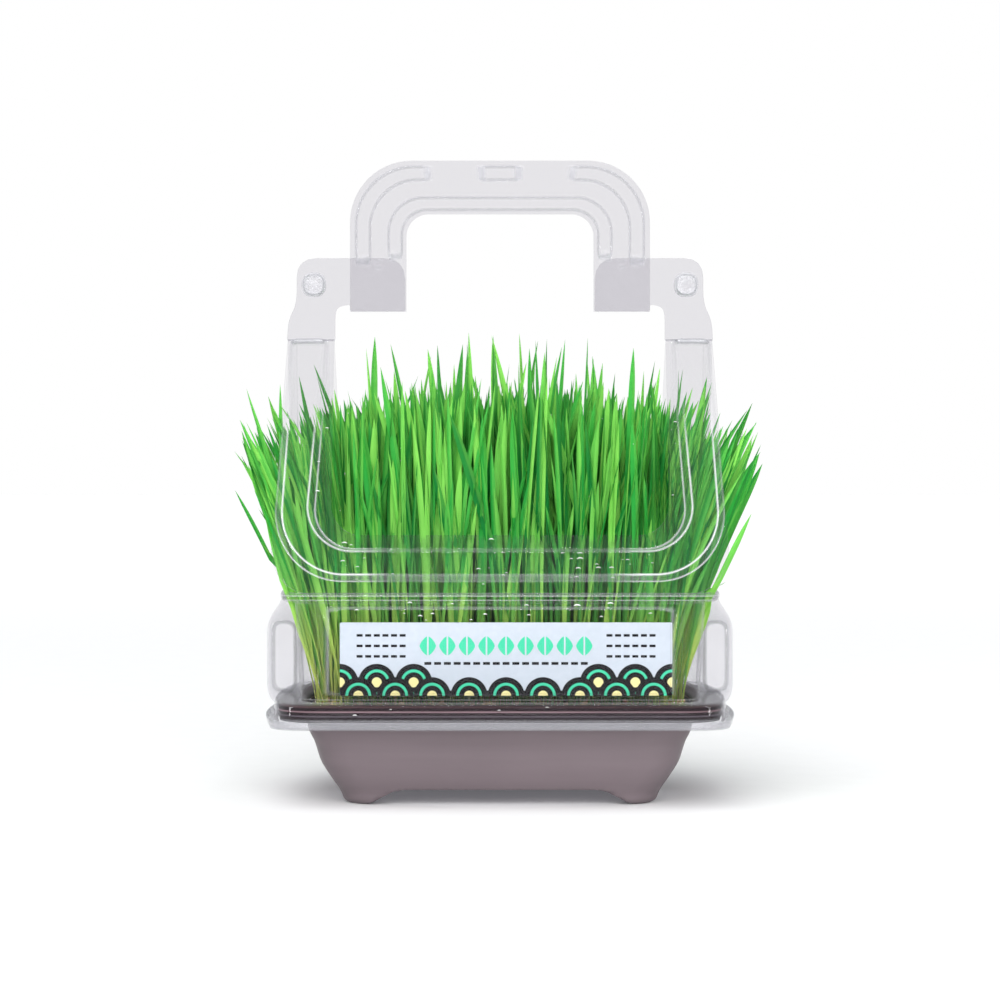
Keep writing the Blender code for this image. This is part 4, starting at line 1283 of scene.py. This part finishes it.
def arch_line(half_x, top, radius, bottom):
    """Up the right leg, round the corner, over the grip and down the left, as x and z."""
    z_leg = np.linspace(bottom, top - radius, 25)[:-1]
    a = np.linspace(0, math.pi / 2, 15)
    x_bar = np.linspace(half_x - radius, 0, 26)[1:]
    x_arc, z_arc = half_x - radius + radius * np.cos(a), top - radius + radius * np.sin(a)
    x = np.concatenate([np.full(len(z_leg), half_x), x_arc, x_bar])
    z = np.concatenate([z_leg, z_arc, np.full(len(x_bar), top)])
    return mirrored(np.column_stack([x, z]))


def leaf_relief(x, z, share):
    """Raised ribs of a handle leaf. Across the band, share runs from 0 at the opening to 1 outside:
    the inner rib is one length, the outer one is broken at the leg's foot and either side of the
    middle, and a small lug stands under it on each leg."""
    inner = strip_mask(share, *INNER_RIB, RIB_EDGE) * smooth(z, *INNER_RIB_FOOT)
    outer = strip_mask(share, *OUTER_RIB, RIB_EDGE)
    on_bar = z > GRIP_BOTTOM
    sides = np.where(on_bar, smooth(abs(x), *RIB_CORNER_START), smooth(z, *OUTER_RIB_FOOT))
    centre = (1 - smooth(abs(x), *RIB_CENTRE_END)) * on_bar
    ribs = np.maximum(inner, outer * np.maximum(sides, centre)) * RIB_HEIGHT
    lug = strip_mask(share, *LUG_ACROSS) * strip_mask(z, *LUG_HEIGHTS) * LUG_HEIGHT
    return np.maximum(ribs, lug)


def make_handles(sheet, cut, look):
    """Each leaf is a band between two arches, stepped forward by its ribs, whose steep sides get
    painted frost: grey lines painted along them."""
    (_, _, foot), (_, back, top) = LEAF_BOX
    outer = arch_line(LEG_X[1], top, LEAF_OUTER_RADIUS, foot)
    inner = arch_line(LEG_X[0], GRIP_BOTTOM, LEAF_INNER_RADIUS, foot)
    share = np.linspace(0, 1, 61)[:, None]
    band = inner[None] * (1 - share[..., None]) + outer[None] * share[..., None]
    x, z = band[..., 0], band[..., 1]
    rise = leaf_relief(x, z, share)
    surface = np.stack([x, np.full_like(x, back - look.thickness / 2) - rise, z], axis=-1)
    # painted frost along the ribs' steep sides
    steep = np.hypot(*np.gradient(rise))
    values = {"milk": LEAF_PAINTED_FROST * smooth(steep / steep.max(), 0.3, 0.9)}
    for name, body, turn in HALVES:
        net = Net()
        net.grid(surface * turn, flip=True, values=values)
        piece = net.make("handle_leaf_" + name, [sheet, cut], body, weld=True)
        thicken(piece, look.thickness, 60)
        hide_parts("handle_" + name)


def make_card(look):
    """A thin card: its outline with rounded corners, carried through its thickness."""
    low, high = CARD_BOX
    outline = rectangle_loop(low[[0, 2]], high[[0, 2]], CARD_RADIUS)
    centre = (low[[0, 2]] + high[[0, 2]]) / 2
    steps = (
        (CARD_BEVEL, low[1]), (0.0, low[1] + CARD_BEVEL),
        (0.0, high[1] - CARD_BEVEL), (CARD_BEVEL, high[1]),
    )
    loops = [upright(centre + (outline - centre) * (1 - inset / CARD_HALF), y) for inset, y in steps]
    net = Net()
    net.loops(np.array(loops), both_ends=True)
    piece = net.make("card_face", [card_print(look, low, high)], HOLDER, weld=True, recalculate=True)
    sharpen(piece, 40)
    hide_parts("card_insert")


def make_drops(look, draw):
    """Water drops on the front sheet, as flattened half balls: most lie on the leaning frame's foot,
    some on its arms, and the others on the pocket's upper edge and on the skirt."""
    count = look.drops

    def each(low, high):
        return draw.uniform(low, high, count)

    def chance(share):
        return draw.random(count) < share

    sizes = each(0.0007, 0.0020) * each(0.6, 1.0)
    on_frame = chance(FRAME_PART)
    x = each(-DROP_X, DROP_X)
    on_skirt = chance(SKIRT_PART)
    z = np.where(on_skirt, each(*SKIRT_ZONE), each(*WALL_ZONE))
    y = np.where(on_skirt, SKIRT_Y, WALL_Y)
    arm_x, arm_z = np.sign(x) * each(*ARM_ZONE_X), each(*ARM_ZONE)
    foot_z = each(*FOOT_ZONE)
    on_arm = chance(ARM_PART)
    x = np.where(on_frame & on_arm, arm_x, x)
    z = np.where(on_frame, np.where(on_arm, arm_z, foot_z), z)
    y = np.where(on_frame, -lean_y(z) - SHEET_GAP, y)
    make_beads("water_drops", (5, 12), 0.5, 1.5, sizes, np.stack([x, y, z], axis=-1))


# Stage


def make_floor():
    """A pale floor that ends far away. Its glow fills the far distance, and a little of the dark
    beneath the tray, in an ellipse of the tray's foot."""
    paint = Paint("pale_floor")
    x, y, _ = paint.split(paint.spot())
    speck = paint.noise(60.0, 2.0)
    far = ((x**2.0 + y**2.0) ** 0.5).rise(0.6, 3.2)
    under = 1.0 - (((x / 0.084) ** 2.0 + (y / 0.054) ** 2.0) ** 0.5).rise(0.8, 1.05)
    colour = paint.mix(speck.rise(0.3, 0.7), (0.920, 0.920, 0.920), (0.930, 0.930, 0.930))
    glow = paint.mix(under, (0.0, 0.0, 0.0), (0.10, 0.10, 0.11))
    material = paint.finish(paint.principled(
        Base_Color=paint.mix(far, colour, (0.955, 0.955, 0.955)),
        Roughness=0.9,
        Specular_IOR_Level=0.0,
        Emission_Color=paint.mix(far, glow, (0.065, 0.055, 0.045)),
        Emission_Strength=1.0,
    ))
    reach = 30.0
    corners = [(-reach, -reach, 0), (reach, -reach, 0), (reach, reach, 0), (-reach, reach, 0)]
    mesh = bpy.data.meshes.new("floor")
    mesh.from_pydata(corners, [], [(0, 1, 2, 3)])
    mesh.materials.append(material)
    add_object("floor", mesh)


def make_surround(look):
    """A white world to look at, which lights the tray a little less and a little cooler."""
    world = bpy.data.worlds.new("surround")
    world.use_nodes = True
    nodes, links = world.node_tree.nodes, world.node_tree.links
    seen = nodes["Background"]
    seen.inputs["Color"].default_value = (1, 1, 1, 1)
    felt = nodes.new("ShaderNodeBackground")
    felt.inputs["Color"].default_value = (0.96, 0.98, 1, 1)
    felt.inputs["Strength"].default_value = look.glow
    path, mix = nodes.new("ShaderNodeLightPath"), nodes.new("ShaderNodeMixShader")
    links.new(path.outputs["Is Camera Ray"], mix.inputs[0])
    links.new(felt.outputs[0], mix.inputs[1])
    links.new(seen.outputs[0], mix.inputs[2])
    links.new(mix.outputs[0], nodes["World Output"].inputs["Surface"])
    bpy.context.scene.world = world


def add_lamp(name, spot, size, power):
    """A soft lamp that faces the middle of the grass."""
    lamp = bpy.data.lights.new(name, "AREA")
    lamp.shape, lamp.size, lamp.size_y = "RECTANGLE", size[0], size[1]
    lamp.energy = power
    light = add_object(name, lamp)
    light.location = spot
    x, y, z = np.array(spot) - (0, 0, 0.12)
    light.rotation_euler = (math.atan2(math.hypot(x, y), z), 0, math.atan2(y, x) + math.pi / 2)
    return light


def make_lamps(look):
    """A wide panel overhead and a front lamp that no gloss shows, and strips that only gloss shows."""
    sun = bpy.data.lights.new("sky_panel", "SUN")
    sun.energy, sun.angle = look.sun, math.radians(50)
    panel = add_object("sky_panel", sun)
    panel.rotation_euler = (math.radians(38), 0, math.radians(-20))
    panel.visible_glossy = False
    add_lamp("front", (0.15, -1.7, 0.55), (1.5, 1.2), 26).visible_glossy = False
    for name, spot, size in (
        ("left_strip", (-1.3, -0.35, 0.35), (0.10, 1.3)),
        ("right_strip", (1.3, -0.35, 0.35), (0.10, 1.3)),
        ("top_strip", (0, -0.15, 1.5), (1.4, 0.12)),
    ):
        add_lamp(name, spot, size, 9).visible_diffuse = False


def make_camera(look):
    """A level camera in front, as wide as the field at the middle of the tray."""
    camera = bpy.data.cameras.new("camera")
    camera.sensor_width = 36.0
    camera.lens = 18.0 / (look.field / 2 / look.distance)
    camera.shift_y = -0.017
    eye = add_object("camera", camera)
    eye.location = (0.0, -look.distance, look.eye)
    eye.rotation_euler = (math.pi / 2, 0, 0)
    bpy.context.scene.camera = eye


# Operators


class DressTray(bpy.types.Operator):
    """Makes the moulded tray"""

    bl_idname = "wheatgrass.tray"
    bl_label = "Tray"

    def execute(self, context):
        make_tray(context.scene.tray_look)
        return {"FINISHED"}


class GrowGrass(bpy.types.Operator):
    """Makes the mat of roots, the seeds and the blades"""

    bl_idname = "wheatgrass.grass"
    bl_label = "Roots, seeds and blades"

    def execute(self, context):
        draw = np.random.default_rng(5)
        make_roots()
        make_seeds(context.scene.grass_look, draw)
        make_grass(context.scene.grass_look, draw)
        return {"FINISHED"}


class FormCarrier(bpy.types.Operator):
    """Makes both clear halves, the handle leaves and the water drops"""

    bl_idname = "wheatgrass.carrier"
    bl_label = "Carrier and handle"

    def execute(self, context):
        look = context.scene.carrier_look
        sheet, cut = make_carriers(look)
        make_handles(sheet, cut, look)
        make_drops(look, np.random.default_rng(8))
        return {"FINISHED"}


class PrintCard(bpy.types.Operator):
    """Makes the printed card"""

    bl_idname = "wheatgrass.card"
    bl_label = "Card"

    def execute(self, context):
        make_card(context.scene.card_look)
        return {"FINISHED"}


class SetStage(bpy.types.Operator):
    """Makes the floor, the lights and the camera"""

    bl_idname = "wheatgrass.stage"
    bl_label = "Stage"

    def execute(self, context):
        look = context.scene.stage_look
        make_floor()
        make_surround(look)
        make_lamps(look)
        make_camera(look)
        context.scene.view_settings.view_transform = "Standard"
        context.scene.cycles.transparent_max_bounces = 32
        return {"FINISHED"}


class WheatgrassPanel(bpy.types.Panel):
    """Lists what can be made"""

    bl_idname = "VIEW3D_PT_wheatgrass"
    bl_label = "Wheatgrass tray"
    bl_space_type = "VIEW_3D"
    bl_region_type = "UI"
    bl_category = "Wheatgrass"

    def draw(self, context):
        for name, operator in STEPS:
            look = getattr(context.scene, name)
            for key in look.__annotations__:
                self.layout.prop(look, key)
            self.layout.operator(operator.bl_idname)


LOOKS = {
    "tray_look": TrayLook, "grass_look": GrassLook, "carrier_look": CarrierLook,
    "card_look": CardLook, "stage_look": StageLook,
}
STEPS = (
    ("tray_look", DressTray), ("grass_look", GrowGrass), ("carrier_look", FormCarrier),
    ("card_look", PrintCard), ("stage_look", SetStage),
)
CLASSES = (*LOOKS.values(), *(operator for _, operator in STEPS), WheatgrassPanel)


def register():
    for item in CLASSES:
        bpy.utils.register_class(item)
    for name, look in LOOKS.items():
        setattr(bpy.types.Scene, name, PointerProperty(type=look))


def unregister():
    for name in LOOKS:
        delattr(bpy.types.Scene, name)
    for item in reversed(CLASSES):
        bpy.utils.unregister_class(item)


def main():
    register()
    bpy.ops.wheatgrass.tray()
    bpy.ops.wheatgrass.grass()
    bpy.ops.wheatgrass.carrier()
    bpy.ops.wheatgrass.card()
    bpy.ops.wheatgrass.stage()


if __name__ == "__main__":
    main()
